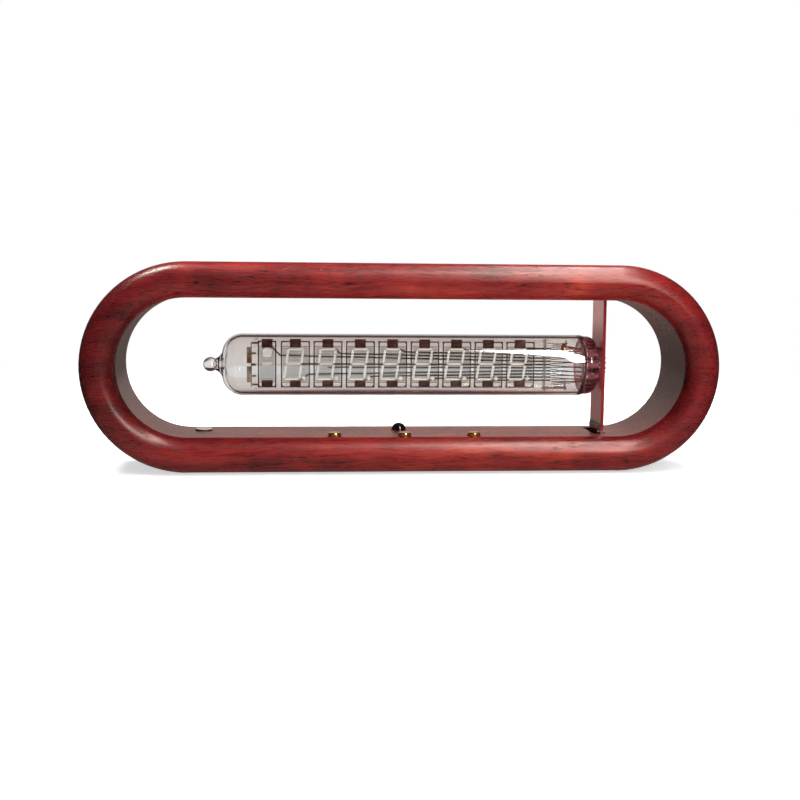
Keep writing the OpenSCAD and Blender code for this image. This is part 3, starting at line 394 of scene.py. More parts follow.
@dataclass(frozen=True)
class ReflowedSolder(Metal):
    """Solder that ran and set: bright, with a skin of small ripples."""

    name: ClassVar[str] = "reflowed_solder"
    colour: str = "D6D5D2"
    stain: str = "B9B8B5"
    rough: float = 0.18
    grain_mm: float = 0.5
    depth_mm: float = 0.03


@dataclass(frozen=True)
class RolledSteel(Metal):
    """Rolled and stamped steel sheet, plated: satin grey with fine lines from the rolls."""

    name: ClassVar[str] = "rolled_steel"
    colour: str = "BDBDBB"
    stain: str = "A3A3A0"
    rough: float = 0.32
    draw: Point = (0.15, 1.0, 1.0)


@dataclass(frozen=True)
class BlackenedSteel(Metal):
    """Steel screws in a black oxide bath: nearly black, with a faint metal gloss."""

    name: ClassVar[str] = "blackened_steel"
    colour: str = "2B2B2D"
    stain: str = "1D1D1F"
    rough: float = 0.38


@dataclass(frozen=True)
class NickelSheet(Metal):
    """Nickel-plated sheet inside the tube, stained brown where the tube was fired."""

    name: ClassVar[str] = "fired_nickel"
    colour: str = "A59C90"
    stain: str = "6E4F3A"
    rough: float = 0.3
    grain_mm: float = 0.9


@dataclass(frozen=True)
class StainedGetter(Metal):
    """Ring of getter metal, flashed by heat: bronze and straw colours on dull metal."""

    name: ClassVar[str] = "flashed_getter"
    colour: str = "8C6A3E"
    stain: str = "4C3526"
    rough: float = 0.36
    grain_mm: float = 0.6


@dataclass(frozen=True)
class EtchedGridSteel(Metal):
    """Thin steel sheet, etched through and fired: dark brown oxide, with bright-catching edges."""

    name: ClassVar[str] = "etched_grid_steel"
    colour: str = "5A4A41"
    stain: str = "30241F"
    rough: float = 0.34
    grain_mm: float = 0.8


@dataclass(frozen=True)
class CoatedTungsten(Metal):
    """Tungsten wire with an oxide coat: a grey-white hair."""

    name: ClassVar[str] = "coated_tungsten"
    colour: str = "8F8C88"
    stain: str = "77736E"
    rough: float = 0.5


@dataclass(frozen=True)
class Moulded(Finish):
    """A moulded or pressed material without metal: its mould leaves a fine even grain.

    The grain is drawn coarser than the real one, so that it shows.
    """

    name: ClassVar[str] = "moulded"
    colour: str = "1B1B1C"
    shade: str = "111112"
    rough: float = 0.45
    grain_mm: float = 0.2
    depth_mm: float = 0.01
    coat: float = 0.0
    ior: float = 1.5
    # Painted light: a glow for parts that are no lamp; only the phosphor has one.
    glow: float = 0.0

    def wire(self, s: Shader) -> Socket:
        """Wires the grain and the body colour."""
        place = s.millimetres()
        grain = s.add("TexNoise", {"Vector": place, "Scale": 1 / self.grain_mm, "Detail": 3.0,
                                   "Roughness": 0.65})
        colour = s.add("Mix", {0: grain, 6: self.colour, 7: self.shade}, output=2, data_type="RGBA")
        rough = s.add("MapRange", {"Value": grain, "From Min": 0.3, "From Max": 0.7,
                                   "To Min": self.rough * 0.85, "To Max": min(1.0, self.rough * 1.15)})
        bump = s.add("Bump", {"Strength": 0.3, "Distance": self.depth_mm * MM, "Height": grain})
        return s.add("BsdfPrincipled", {
            "Base Color": colour, "Roughness": rough, "IOR": self.ior, "Normal": bump,
            "Coat Weight": self.coat, "Coat Roughness": 0.05,
            "Emission Color": self.colour, "Emission Strength": self.glow})


@dataclass(frozen=True)
class MouldedNylon(Moulded):
    """Black nylon, injection moulded: a fine even satin."""

    name: ClassVar[str] = "moulded_nylon"


@dataclass(frozen=True)
class ChipEpoxy(Moulded):
    """Black epoxy, transfer moulded round a chip: matt with a sandy grain."""

    name: ClassVar[str] = "chip_epoxy"
    colour: str = "2A2A2C"
    shade: str = "1C1C1E"
    rough: float = 0.6
    grain_mm: float = 0.12


@dataclass(frozen=True)
class CastReceiverEpoxy(Moulded):
    """Black epoxy that lets only infrared through, cast in a polished mould: a deep wet gloss."""

    name: ClassVar[str] = "cast_receiver_epoxy"
    colour: str = "070708"
    shade: str = "040405"
    rough: float = 0.07
    grain_mm: float = 2.0
    depth_mm: float = 0.004
    coat: float = 0.5


@dataclass(frozen=True)
class SensorEpoxy(Moulded):
    """Clear-topped epoxy of the light sensor: pale, smooth and slightly milky."""

    name: ClassVar[str] = "sensor_epoxy"
    colour: str = "D9DAD2"
    shade: str = "BFC2B8"
    rough: float = 0.12
    grain_mm: float = 0.9
    coat: float = 0.4


@dataclass(frozen=True)
class MouldedRubber(Moulded):
    """Black rubber, moulded: soft and dull, with a dusty bloom."""

    name: ClassVar[str] = "moulded_rubber"
    colour: str = "1E1E1E"
    shade: str = "2A2A2A"
    rough: float = 0.8
    grain_mm: float = 0.35
    depth_mm: float = 0.03


@dataclass(frozen=True)
class PressedFerrite(Moulded):
    """Ferrite, pressed and fired: dark grey and chalky."""

    name: ClassVar[str] = "pressed_ferrite"
    colour: str = "3A3B3E"
    shade: str = "2B2C2F"
    rough: float = 0.65


@dataclass(frozen=True)
class CapacitorEpoxy(Moulded):
    """Yellow epoxy of a moulded capacitor: matt ochre."""

    name: ClassVar[str] = "capacitor_epoxy"
    colour: str = "C8963A"
    shade: str = "B07F2C"
    rough: float = 0.5


@dataclass(frozen=True)
class FiredFrit(Moulded):
    """Dark brown glass frit, printed as a paste and fired: dull, rounded and full of fine pits."""

    name: ClassVar[str] = "fired_frit"
    colour: str = "40211A"
    shade: str = "24110E"
    rough: float = 0.42
    grain_mm: float = 0.35
    depth_mm: float = 0.05


@dataclass(frozen=True)
class SettledPhosphor(Moulded):
    """Zinc oxide phosphor, settled as a powder: chalk white with a warm cast, and no gloss.

    It is thin enough to pass on some of the white light from behind, which a weak glow of painted light
    stands for.
    """

    name: ClassVar[str] = "settled_phosphor"
    colour: str = "FCFAF4"
    shade: str = "F2EDE0"
    rough: float = 0.95
    grain_mm: float = 0.15
    depth_mm: float = 0.02
    # Painted light: the digits glow, though the tube is off.
    glow: float = 0.75


@dataclass(frozen=True)
class PrintedConductor(Moulded):
    """Thin metal film, printed and fired on the glass plate: nearly black, dull and even."""

    name: ClassVar[str] = "printed_conductor"
    colour: str = "08080A"
    shade: str = "121215"
    rough: float = 0.5
    grain_mm: float = 0.3


@dataclass(frozen=True)
class ClearGlass(Finish):
    """Soda-lime glass, drawn or pressed: clear, with faint draw lines and a trace of colour.

    Lamps shine through it without bending, so that what it holds is lit evenly.
    """

    name: ClassVar[str] = "drawn_glass"
    tint: str = "F6F2EF"
    lamp_tint: str = "F4F1F0"
    ior: float = 1.6
    # Painted shade: partly the longer path through the glass, mostly a darkening towards the edges for the
    # tube's dark outline.
    painted_rim_shade: str = "4A3B38"
    painted_rim_span: tuple[float, float] = (0.7, 0.86)
    wave_mm: float = 9.0
    depth_mm: float = 0.004

    def wire(self, s: Shader) -> Socket:
        """Wires the glass, with painted shade at its edges, and a clear way through it for lamps."""
        place = s.millimetres((0.25, 1.0, 1.0))
        wave = s.add("TexNoise", {"Vector": place, "Scale": 1 / self.wave_mm, "Detail": 1.0})
        bump = s.add("Bump", {"Strength": 0.25, "Distance": self.depth_mm * MM, "Height": wave})
        turned = s.add("LayerWeight", {"Blend": 0.5}, output="Facing")
        near, far = self.painted_rim_span
        turned = s.add("MapRange", {"Value": turned, "From Min": near, "From Max": far})
        colour = s.add("Mix", {0: turned, 6: self.tint, 7: self.painted_rim_shade}, output=2, data_type="RGBA")
        glass = s.add("BsdfPrincipled", {
            "Base Color": colour, "Roughness": 0.0, "IOR": self.ior, "Normal": bump,
            "Transmission Weight": 1.0})
        clear = s.add("BsdfTransparent", {"Color": self.lamp_tint})
        return s.add("MixShader", {0: s.seen(Ray.SHADOW), 1: glass, 2: clear})


@dataclass(frozen=True)
class PlateGlass(ClearGlass):
    """Thin ground and polished glass plate: flat and colourless."""

    name: ClassVar[str] = "polished_plate_glass"
    tint: str = "FAF9F8"
    painted_rim_shade: str = "C8CCCA"
    wave_mm: float = 30.0
    depth_mm: float = 0.001


@dataclass(frozen=True)
class PressedBaseGlass(ClearGlass):
    """Lead glass, pressed round the wires at the tube's end: solid.

    Its dusky wine-red tone is a painted reflection of the red board beside it.
    """

    name: ClassVar[str] = "pressed_lead_glass"
    # Painted reflection: the red of the board beside the base, seen in the glass.
    tint: str = "9C4A56"
    lamp_tint: str = "D8C4C6"
    painted_rim_shade: str = "5A2A30"
    wave_mm: float = 3.0
    depth_mm: float = 0.008


@dataclass(frozen=True)
class SealedLead(Finish):
    """Nickel wire inside the tube, copper-clad in the glass seal, and tinned outside.

    The clad stretch glints copper red through the pressed base.
    """

    name: ClassVar[str] = "sealed_lead_wire"
    nickel: str = "B5AFA6"
    copper: str = "B8663C"
    tinned: str = "C9C6C0"
    copper_from_mm: float = 55.2
    copper_to_mm: float = 58.6
    span_mm: tuple[float, float] = (45.0, 70.0)
    blend_in: float = 0.06
    blend_out: float = 0.04

    def wire(self, s: Shader) -> Socket:
        """Wires the three stretches along the wire."""
        low, high = self.span_mm
        along = s.add("SeparateXYZ", {0: s.millimetres()})
        share = s.add("MapRange", {"Value": along, "From Min": low, "From Max": high})
        start = (self.copper_from_mm - low) / (high - low)
        end = (self.copper_to_mm - low) / (high - low)
        colour = s.add("ValToRGB", {0: share}, stops=[
            (start - self.blend_in, self.nickel), (start, self.copper), (end, self.copper),
            (end + self.blend_out, self.tinned)])
        grain = s.add("TexNoise", {"Vector": s.millimetres(), "Scale": 2.5, "Detail": 2.0})
        rough = s.add("MapRange", {"Value": grain, "From Min": 0.3, "From Max": 0.7,
                                   "To Min": 0.18, "To Max": 0.34})
        return s.add("BsdfPrincipled", {"Base Color": colour, "Metallic": 1.0, "Roughness": rough})


def make_piece(name: str, verts: Sequence[Point], faces: Sequence[Sequence[int]], finish: Finish,
               smooth_below: float | None = 35.0) -> bpy.types.Object:
    """Makes a mesh object from points in millimetres.

    Args:
        name: the piece's name.
        verts: its points.
        faces: its faces, as places in verts.
        finish: the finish it gets.
        smooth_below: edges that turn by fewer degrees are shaded round, or None for flat faces.

    Returns:
        The new object.
    """
    mesh = bpy.data.meshes.new(name)
    mesh.from_pydata([tuple(c * MM for c in v) for v in verts], [], [tuple(f) for f in faces])
    mesh.validate()
    mesh.update()
    mesh.materials.append(finish.material())
    made = bpy.data.objects.new(name, mesh)
    bpy.context.scene.collection.objects.link(made)
    if smooth_below is not None:
        mesh.shade_smooth()
        mesh.set_sharp_from_angle(angle=math.radians(smooth_below))
    return made


def arc(centre: Flat, radius: float, start: float, end: float, steps: int) -> list[Flat]:
    """Gives points on an arc.

    Args:
        centre: the arc's middle.
        radius: its radius.
        start: first angle in degrees.
        end: last angle in degrees.
        steps: spans between the points.

    Returns:
        steps + 1 points.
    """
    angles = (math.radians(start + (end - start) * k / steps) for k in range(steps + 1))
    return [(centre[0] + radius * math.cos(a), centre[1] + radius * math.sin(a)) for a in angles]


def lathe(profile: Sequence[Flat], axis: Flat, steps: int, inward: bool = False,
          stray: Callable[[float, float], float] | None = None
          ) -> tuple[list[Point], list[list[int]]]:
    """Turns a profile round an axis parallel to X.

    Args:
        profile: points as (x, radius), the first and last on the axis.
        axis: the axis's place as (y, z).
        steps: spans round the axis.
        inward: True if the faces look towards the axis.
        stray: how far a point at (x, angle) strays from its radius, as a factor, or None.

    Returns:
        The points and the faces.
    """
    verts: list[Point] = [(profile[0][0], *axis), (profile[-1][0], *axis)]
    faces: list[list[int]] = []
    rings = profile[1:-1]
    for x, r in rings:
        for k in range(steps):
            a = math.tau * k / steps
            f = r * (stray(x, a) if stray else 1.0)
            verts.append((x, axis[0] + f * math.cos(a), axis[1] + f * math.sin(a)))
    for k in range(steps):
        n = (k + 1) % steps
        faces.append([0, 2 + k, 2 + n])
        for i in range(len(rings) - 1):
            a, b = 2 + i * steps, 2 + (i + 1) * steps
            faces.append([a + k, b + k, b + n, a + n])
        last = 2 + (len(rings) - 1) * steps
        faces.append([last + n, last + k, 1])
    if inward:
        faces = [f[::-1] for f in faces]
    return verts, faces


def box_faces(low: Point, high: Point, start: int) -> tuple[list[Point], list[list[int]]]:
    """Makes a block from its lowest and highest corners.

    Args:
        low: its lowest corner.
        high: its highest corner.
        start: how many points the mesh already has.

    Returns:
        The points and the faces.
    """
    xs, ys, zs = zip(low, high)
    verts = [(x, y, z) for x in xs for y in ys for z in zs]
    quads = [(0, 1, 3, 2), (4, 6, 7, 5), (0, 4, 5, 1), (2, 3, 7, 6), (0, 2, 6, 4), (1, 5, 7, 3)]
    return verts, [[start + i for i in q] for q in quads]


def box_mm(node: str) -> tuple[Vector, Vector]:
    """Gives a node's lowest and highest corner in millimetres."""
    low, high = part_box(node)
    return low / MM, high / MM


@dataclass
class SubAssembly:
    """A part of the clock: the nodes that it dresses, and the pieces that it makes."""

    nodes: dict[str, bpy.types.Object]

    def dress(self, finish: Finish, *names: str) -> None:
        """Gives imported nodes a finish.

        Args:
            finish: the finish.
            names: the nodes.
        """
        for name in names:
            for slot in self.nodes[name].material_slots:
                slot.material = finish.material()
            LOG.info("node %s: %s", name, finish.name)

    def ride(self, piece: bpy.types.Object, slot: str, *replaced: str) -> None:
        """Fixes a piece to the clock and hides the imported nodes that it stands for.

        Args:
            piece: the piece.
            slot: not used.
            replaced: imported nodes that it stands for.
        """
        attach(piece, Body.CLOCK.value)
        if replaced:
            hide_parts(*replaced)
        LOG.info("piece %s: %d faces", piece.name, len(piece.data.polygons))

    def build(self) -> None:
        """Makes the pieces and dresses the nodes."""
        raise NotImplementedError


@dataclass
class Studio:
    """Camera, white sweep and soft lamps."""

    camera_at_mm: Point = (-36.545, -396.82, 65.6)
    yaw: float = -0.0903
    pitch: float = -0.1095
    roll: float = -0.0097
    focal_px: float = 1244.06
    image_px: float = 800.0
    sensor_mm: float = 36.0
    # Levels of the surroundings: even light, light from the sides, and the dim room.
    ambient: float = 0.25
    side_ambient: float = 0.14
    room: float = 0.06
    # The board that polish mirrors: its level, its warm tone, and where it ends.
    shine_behind: float = 0.64
    shine_tone: str = "FFE6DC"
    side_span: tuple[float, float] = (0.27, 0.38)
    height_shine: tuple[float, float] = (0.4, 0.6)
    # The paper: its colour, and what makes it white to the camera.
    floor_albedo: str = "E3E3E3"
    floor_glow: float = 0.6
    fade_mm: tuple[float, float] = (230.0, 420.0)
    # The paper in polished surfaces, from the front edge over the shade to far behind.
    sweep_front_mm: tuple[float, float] = (-112.0, -104.0)
    floor_shine: float = 0.36
    shade_mm: tuple[float, float] = (-19.0, -13.0)
    floor_behind: float = 0.26
    far_mm: tuple[float, float] = (450.0, 1100.0)
    far_shine: float = 0.7
    wedge: tuple[float, float] = (0.2, 0.3)
    wedge_mm: float = 450.0
    floor_shade: float = 0.1
    # The board and the paper through glass, with the cool strip behind the clock.
    height_through: tuple[float, float] = (0.26, 0.36)
    white_through: float = 0.84
    bent_mm: tuple[float, float] = (62.0, 90.0)
    strip_through: float = 0.2
    strip_tone: str = "EEF9FF"
    strip_mm: tuple[float, float] = (212.0, 372.0)
    strip_blur_mm: float = 6.0
    # The floor's own shape.
    floor_steps: int = 96
    floor_radius_mm: float = 4000.0

    def camera(self) -> None:
        """Makes the camera where the picture was taken from."""
        data = bpy.data.cameras.new("camera")
        data.sensor_width = self.sensor_mm
        data.lens = self.focal_px / self.image_px * self.sensor_mm
        data.clip_start = 0.01
        made = bpy.data.objects.new("camera", data)
        turn = (Matrix.Rotation(self.yaw, 4, "Z") @ Matrix.Rotation(self.pitch, 4, "X")
                @ Matrix.Rotation(self.roll, 4, "Y") @ Matrix.Rotation(math.pi / 2, 4, "X"))
        made.matrix_world = Matrix.Translation(Vector(self.camera_at_mm) * MM) @ turn
        bpy.context.scene.collection.objects.link(made)
        bpy.context.scene.camera = made

    def world(self) -> None:
        """Makes surroundings that look white.

        The camera sees plain white. Glass lets through a white board behind the clock, and polish
        mirrors the same board, warmed by the red wood. Over the board, far to the sides and on the
        camera's side there is a dim room.
        """
        world = bpy.data.worlds.new("surroundings")
        world.use_nodes = True
        bpy.context.scene.world = world
        s = Shader(world.node_tree, "OutputWorld")
        way = s.add("TexCoord", output="Generated")
        depth = s.add("SeparateXYZ", {0: way}, output="Y")
        aside = s.add("Math", {0: s.add("SeparateXYZ", {0: way}, output="X")}, operation="ABSOLUTE")
        aside = s.add("MapRange", {"Value": aside, "From Min": self.side_span[0],
                                   "From Max": self.side_span[1]})
        height = s.add("Math", {0: s.add("SeparateXYZ", {0: way}, output="Z")}, operation="ABSOLUTE")
        behind = s.add("MapRange", {"Value": depth, "From Min": -0.1, "From Max": 0.1})

        def board(span: tuple[float, float], level: float) -> Socket:
            """Gives the board's level up to a height, and the room's over it."""
            low = s.add("MapRange", {"Value": height, "From Min": span[1], "From Max": span[0]})
            there = s.add("Math", {0: low, 1: behind}, operation="MULTIPLY")
            return s.add("MapRange", {"Value": there, "To Min": self.room, "To Max": level})

        shine = board(self.height_shine, self.shine_behind)
        shine = s.add("Mix", {0: aside, 2: shine, 3: self.room}, data_type="FLOAT")
        through = board(self.height_through, self.white_through)
        level = s.add("MapRange", {"Value": aside, "To Min": self.ambient, "To Max": self.side_ambient})
        level = s.add("Mix", {0: s.seen(Ray.GLOSSY), 2: level, 3: shine}, data_type="FLOAT")
        level = s.add("Mix", {0: s.bent(), 2: level, 3: through}, data_type="FLOAT")
        level = s.add("Mix", {0: s.seen(Ray.CAMERA), 2: level, 3: 1.0}, data_type="FLOAT")
        tone = s.add("Mix", {0: s.mirrored(), 6: "FFFFFF", 7: self.shine_tone}, output=2,
                     data_type="RGBA")
        s.finish(s.add("Background", {"Color": tone, "Strength": level}))

    def floor(self) -> None:
        """Makes a round white floor that keeps the clock's shadow and fades into the white."""
        turns = [math.tau * k / self.floor_steps for k in range(self.floor_steps)]
        ring = [(self.floor_radius_mm * math.cos(t), self.floor_radius_mm * math.sin(t), 0.0)
                for t in turns]
        made = make_piece("floor", ring, [range(self.floor_steps)], WhiteSweep(self), None)

    def lamp(self, name: str, at_mm: Point, aim_mm: Point, size_mm: Flat, watts: float) -> None:
        """Makes one soft lamp.

        Args:
            name: its name.
            at_mm: its place.
            aim_mm: the place it looks at.
            size_mm: its width and height.
            watts: its power.
        """
        data = bpy.data.lights.new(name, "AREA")
        data.shape = "RECTANGLE"
        data.size, data.size_y = size_mm[0] * MM, size_mm[1] * MM
        data.energy = watts
        made = bpy.data.objects.new(name, data)
        turn = (Vector(aim_mm) - Vector(at_mm)).to_track_quat("-Z", "Y").to_matrix().to_4x4()
        made.matrix_world = Matrix.Translation(Vector(at_mm) * MM) @ turn
        made.visible_camera = False
        bpy.context.scene.collection.objects.link(made)

    def build(self) -> None:
        """Makes the whole studio."""
        bpy.context.scene.view_settings.view_transform = "Standard"
        self.world()
        self.floor()
        self.lamp("strip_in_front", (262.0, -623.0, 568.0), (45.0, 0.0, 33.0), (90.0, 860.0), 6.6)
        self.lamp("strip_overhead", (215.0, -50.0, 728.0), (45.0, -50.0, 33.0), (700.0, 90.0), 4.3)
        self.lamp("softbox_left", (-310.0, 20.0, 690.0), (-70.0, 0.0, 60.0), (140.0, 190.0), 5.0)


@dataclass(frozen=True)
class WhiteSweep(Finish):
    """Matt white paper, uncoated. It looks white to the camera and keeps the soft shadow.

    What polish mirrors and glass shows of it stays below plain white, so that both keep their
    dark rims.
    """

    name: ClassVar[str] = "white_sweep"
    studio: Studio = field(default_factory=Studio)

    def wire(self, s: Shader) -> Socket:
        """Wires what the camera, polished surfaces and glass see of the paper."""
        place = s.millimetres()
        depth = s.add("SeparateXYZ", {0: place}, output="Y")
        far_off = s.add("VectorMath", {0: place}, output="Value", operation="LENGTH")
        seen = s.add("MixShader", {0: s.bent(), 1: self.plain(s, place, far_off),
                                   2: self.through(s, depth, far_off)})
        return s.add("MixShader", {0: s.mirrored(), 1: seen, 2: self.mirror(s, place, depth)})

    def mirror(self, s: Shader, place: Socket, depth: Socket) -> Socket:
        """Wires the paper that polished surfaces mirror.

        It begins at the front edge of the paper, is dim in the clock's shade and far to the sides,
        and turns pale far behind.

        Args:
            s: the node tree.
            place: the place on the floor in millimetres.
            depth: its part along Y.

        Returns:
            A shader socket.
        """
        front, back = self.studio.sweep_front_mm
        paper = s.add("MapRange", {"Value": depth, "From Min": front, "From Max": back})
        paper = s.add("MapRange", {"Value": paper, "To Min": self.studio.room,
                                   "To Max": self.studio.floor_shine})
        start, full = self.studio.shade_mm
        paper = s.add("Math", {0: paper, 1: s.add("MapRange", {
            "Value": depth, "From Min": start, "From Max": full, "To Min": 1.0,
            "To Max": self.studio.floor_behind / self.studio.floor_shine})}, operation="MULTIPLY")
        start, full = self.studio.far_mm
        paper = s.add("Math", {0: paper, 1: s.add("MapRange", {
            "Value": depth, "From Min": start, "From Max": full, "To Max": self.studio.far_shine})},
            operation="MAXIMUM")
        side = s.add("Math", {0: s.add("SeparateXYZ", {0: place}, output="X")}, operation="ABSOLUTE")
        reach = s.add("Math", {0: s.add("Math", {0: depth, 1: 0.0}, operation="MAXIMUM"),
                               1: self.studio.wedge_mm}, operation="ADD")
        side = s.add("Math", {0: side, 1: reach}, operation="DIVIDE")
        inner, outer = self.studio.wedge
        paper = s.add("Math", {0: paper, 1: s.add("MapRange", {
            "Value": side, "From Min": inner, "From Max": outer, "To Min": 1.0,
            "To Max": self.studio.floor_shade})}, operation="MULTIPLY")
        return s.add("Emission", {"Color": self.studio.shine_tone, "Strength": paper})

    def plain(self, s: Shader, place: Socket, far_off: Socket) -> Socket:
        """Wires the paper that the camera sees, with the clock's shadow, and that scatters light.

        Args:
            s: the node tree.
            place: the place on the floor in millimetres.
            far_off: how far that is from the clock.

        Returns:
            A shader socket.
        """
        near, far = self.studio.fade_mm
        away = s.add("MapRange", {"Value": far_off, "From Min": near, "From Max": far})
        camera = s.seen(Ray.CAMERA)
        grain = s.add("TexNoise", {"Vector": place, "Scale": 2.0, "Detail": 2.0})
        bump = s.add("Bump", {"Strength": 0.05, "Distance": 0.05 * MM, "Height": grain})
        matt = s.add("BsdfDiffuse", {"Color": self.studio.floor_albedo, "Normal": bump})
        glow = s.add("Math", {0: camera, 1: self.studio.floor_glow}, operation="MULTIPLY")
        lit = s.add("AddShader", {0: matt, 1: s.add("Emission", {"Strength": glow})})
        return s.add("MixShader", {0: s.add("Math", {0: camera, 1: away}, operation="MULTIPLY"),
                                   1: lit, 2: s.add("Emission", {"Strength": 1.0})})

    def through(self, s: Shader, depth: Socket, far_off: Socket) -> Socket:
        """Wires the paper as the glass shows it: dark close by, with a cool bright strip behind.

        Args:
            s: the node tree.
            depth: the place on the floor along Y, in millimetres.
            far_off: how far that is from the clock.

        Returns:
            A shader socket.
        """
        close, clear = self.studio.bent_mm
        level = s.add("MapRange", {"Value": far_off, "From Min": close, "From Max": clear,
                                   "To Min": self.studio.floor_shade,
                                   "To Max": self.studio.white_through})
        start, end = self.studio.strip_mm
        blur = self.studio.strip_blur_mm
        strip = s.add("MapRange", {"Value": depth, "From Min": start, "From Max": start + blur})
        past = s.add("MapRange", {"Value": depth, "From Min": end + blur, "From Max": end})
        strip = s.add("Math", {0: strip, 1: past}, operation="MULTIPLY")
        level = s.add("Math", {0: strip, 1: self.studio.strip_through, 2: level},
                      operation="MULTIPLY_ADD")
        tone = s.add("Mix", {0: strip, 6: "FFFFFF", 7: self.studio.strip_tone}, output=2,
                     data_type="RGBA")
        return s.add("Emission", {"Color": tone, "Strength": level})


@dataclass
class WoodenLoop(SubAssembly):
    """The loop, its bottom cover, screws and feet."""

    def build(self) -> None:
        """Dresses the wood and what is fixed to it."""
        self.dress(OiledPadauk(), "wood_frame")
        self.dress(CoverPadauk(), "bottom_cover")
        self.dress(BlackenedSteel(), "cover_screws")
        self.dress(MouldedRubber(), "rubber_feet")


@dataclass
class DisplayTube(SubAssembly):
    """Glass envelope, leads, and the display inside.

    The real grids' mesh is too fine to show, so it is drawn coarser, but not so coarse that it breaks
    the digits up into rows of beads, as a pitch of 0.8 mm did.
    """

    wall: float = 0.9
    base_len: float = 4.5
    base_out_r: float = 9.4
    base_corner: float = 3.0
    shoulder_len: float = 1.6
    dome_r: float = 6.4
    cavity_corner: float = 2.0
    nub_len: float = 6.0
    nub_r: float = 2.3
    neck_r: float = 1.7
    flare: float = 3.4
    channel_r: float = 0.9
    channel_len: float = 3.2
    funnel: tuple[Flat, Flat] = ((0.9, 1.0), (0.3, 0.25))
    channel_lead: float = 0.4
    hollow_end_deg: float = 172.0
    turn_steps: int = 160
    shoulder_steps: int = 8
    ring_from: float = 8.0
    ring_pitch: float = 12.0
    ring_count: int = 9
    stray_oval: float = 0.018
    stray_lobes: float = 0.012
    stray_from: float = 4.0
    stray_over: float = 6.0
    mesh_pitch: float = 0.56
    mesh_wire: float = 0.13
    mesh_t: float = 0.05
    crossbar: float = 0.16
    border: float = 0.4
    corner_w: float = 0.6
    field_h: float = 11.6
    tab_w: float = 1.6
    frame_t: float = 0.12
    frame_proud: float = 0.01
    tab_proud: float = 0.005
    corner_proud: float = 0.015
    tab_reach: float = 0.55
    tab_half_t: float = 0.06
    tab_short: float = 0.1

    def glass(self) -> None:
        """Makes the drawn glass barrel with its dome, nub and solid pressed base."""
        low, high = box_mm("glass_envelope")
        r = (high.z - low.z) / 2
        axis = ((low.y + high.y) / 2, (low.z + high.z) / 2)
        base, tip = high.x, low.x
        crown = tip + self.nub_len
        inner = base - self.base_len
        shoulder = Vector((crown + self.dome_r, r - self.dome_r))
        rise = self.neck_r + self.flare - shoulder.y
        flare_at = shoulder + Vector((-math.sqrt((self.dome_r + self.flare) ** 2 - rise ** 2), rise))
        touch = math.degrees(math.atan2(rise, flare_at.x - shoulder.x))
        bulb = Vector((tip + self.nub_r, 0.0))
        apart = (flare_at - bulb).length
        along = (self.nub_r ** 2 - self.flare ** 2 + apart ** 2) / (2 * apart)
        meet_rad = math.atan2(flare_at.y, flare_at.x - bulb.x) - math.acos(along / self.nub_r)
        meet = math.degrees(meet_rad)
        joined = bulb + self.nub_r * Vector((math.cos(meet_rad), math.sin(meet_rad)))
        joined_at = math.degrees(math.atan2(joined.y - flare_at.y, joined.x - flare_at.x))
        outside = [(base, 0.0), *arc((base - self.base_corner, self.base_out_r - self.base_corner),
                                     self.base_corner, 0, 90, 14)]
        for k in range(1, self.shoulder_steps + 1):
            share = k / self.shoulder_steps
            ease = (1 - math.cos(math.pi * share)) / 2
            outside.append((inner + self.shoulder_len / 2 - self.shoulder_len * share,
                            self.base_out_r + (r - self.base_out_r) * ease))
        rings = [inner - self.ring_from - self.ring_pitch * k for k in range(self.ring_count)]
        outside += [(x, r) for x in rings]
        outside += arc(shoulder, self.dome_r, 90, touch, 26)[:-1]
        outside += arc(flare_at, self.flare, touch - 180, joined_at, 12)[:-1]
        outside += arc(bulb, self.nub_r, meet, 180, 22)
        hollow = self.dome_r - self.wall
        cavity_r = r - self.wall
        end = crown - self.channel_len + self.channel_r
        inside = [(inner, 0.0), *arc((inner - self.cavity_corner, cavity_r - self.cavity_corner),
                                     self.cavity_corner, 0, 90, 10)]
        inside += [(x, cavity_r) for x in rings]
        inside += arc(shoulder, hollow, 90, self.hollow_end_deg, 20)
        inside += [(crown + self.wall * deep, self.channel_r + wider) for deep, wider in self.funnel]
        inside.append((crown - self.channel_lead, self.channel_r))
        inside += arc((end, 0.0), self.channel_r, 90, 180, 8)

        def hand_drawn(x: float, a: float) -> float:
            """Lets the dome and the nub stray a little from round, as flame-worked glass does."""
            near = max(0.0, min(1.0, (crown + self.stray_from - x) / self.stray_over))
            oval = self.stray_oval * math.sin(2 * a + 0.6)
            lobes = self.stray_lobes * math.sin(3 * a + 1.9 + x * 0.7)
            return 1.0 + near * (oval + lobes)

        verts, faces = lathe(outside, axis, self.turn_steps, stray=hand_drawn)
        more, more_faces = lathe(inside, axis, self.turn_steps, inward=True)
        faces += [[i + len(verts) for i in f] for f in more_faces]
        piece = make_piece("glass_tube", verts + more, faces, ClearGlass(), 60.0)
        # The pressed base takes the glass with the painted red reflection.
        piece.data.materials.append(PressedBaseGlass().material())
        for face in piece.data.polygons:
            if face.center.x > (inner + 0.1) * MM:
                face.material_index = 1
        self.ride(piece, "tube_glass", "glass_envelope")

    def grid(self, node: str) -> None:
        """Makes one etched grid: a fine hexagonal mesh, crossbars, a border and two bent legs.

        Args:
            node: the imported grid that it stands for.
        """
        low, high = box_mm(node)
        mid_x, mid_z = (low.x + high.x) / 2, (low.z + high.z) / 2
        y0, y1 = low.y, low.y + self.mesh_t
        front = y0 - self.frame_proud
        back = low.y + self.frame_t
        half_tab = self.tab_w / 2
        verts: list[Point] = []
        faces: list[list[int]] = []

        def block(a: Point, b: Point) -> None:
            """Adds one block."""
            more, quads = box_faces(a, b, len(verts))
            verts.extend(more)
            faces.extend(quads)

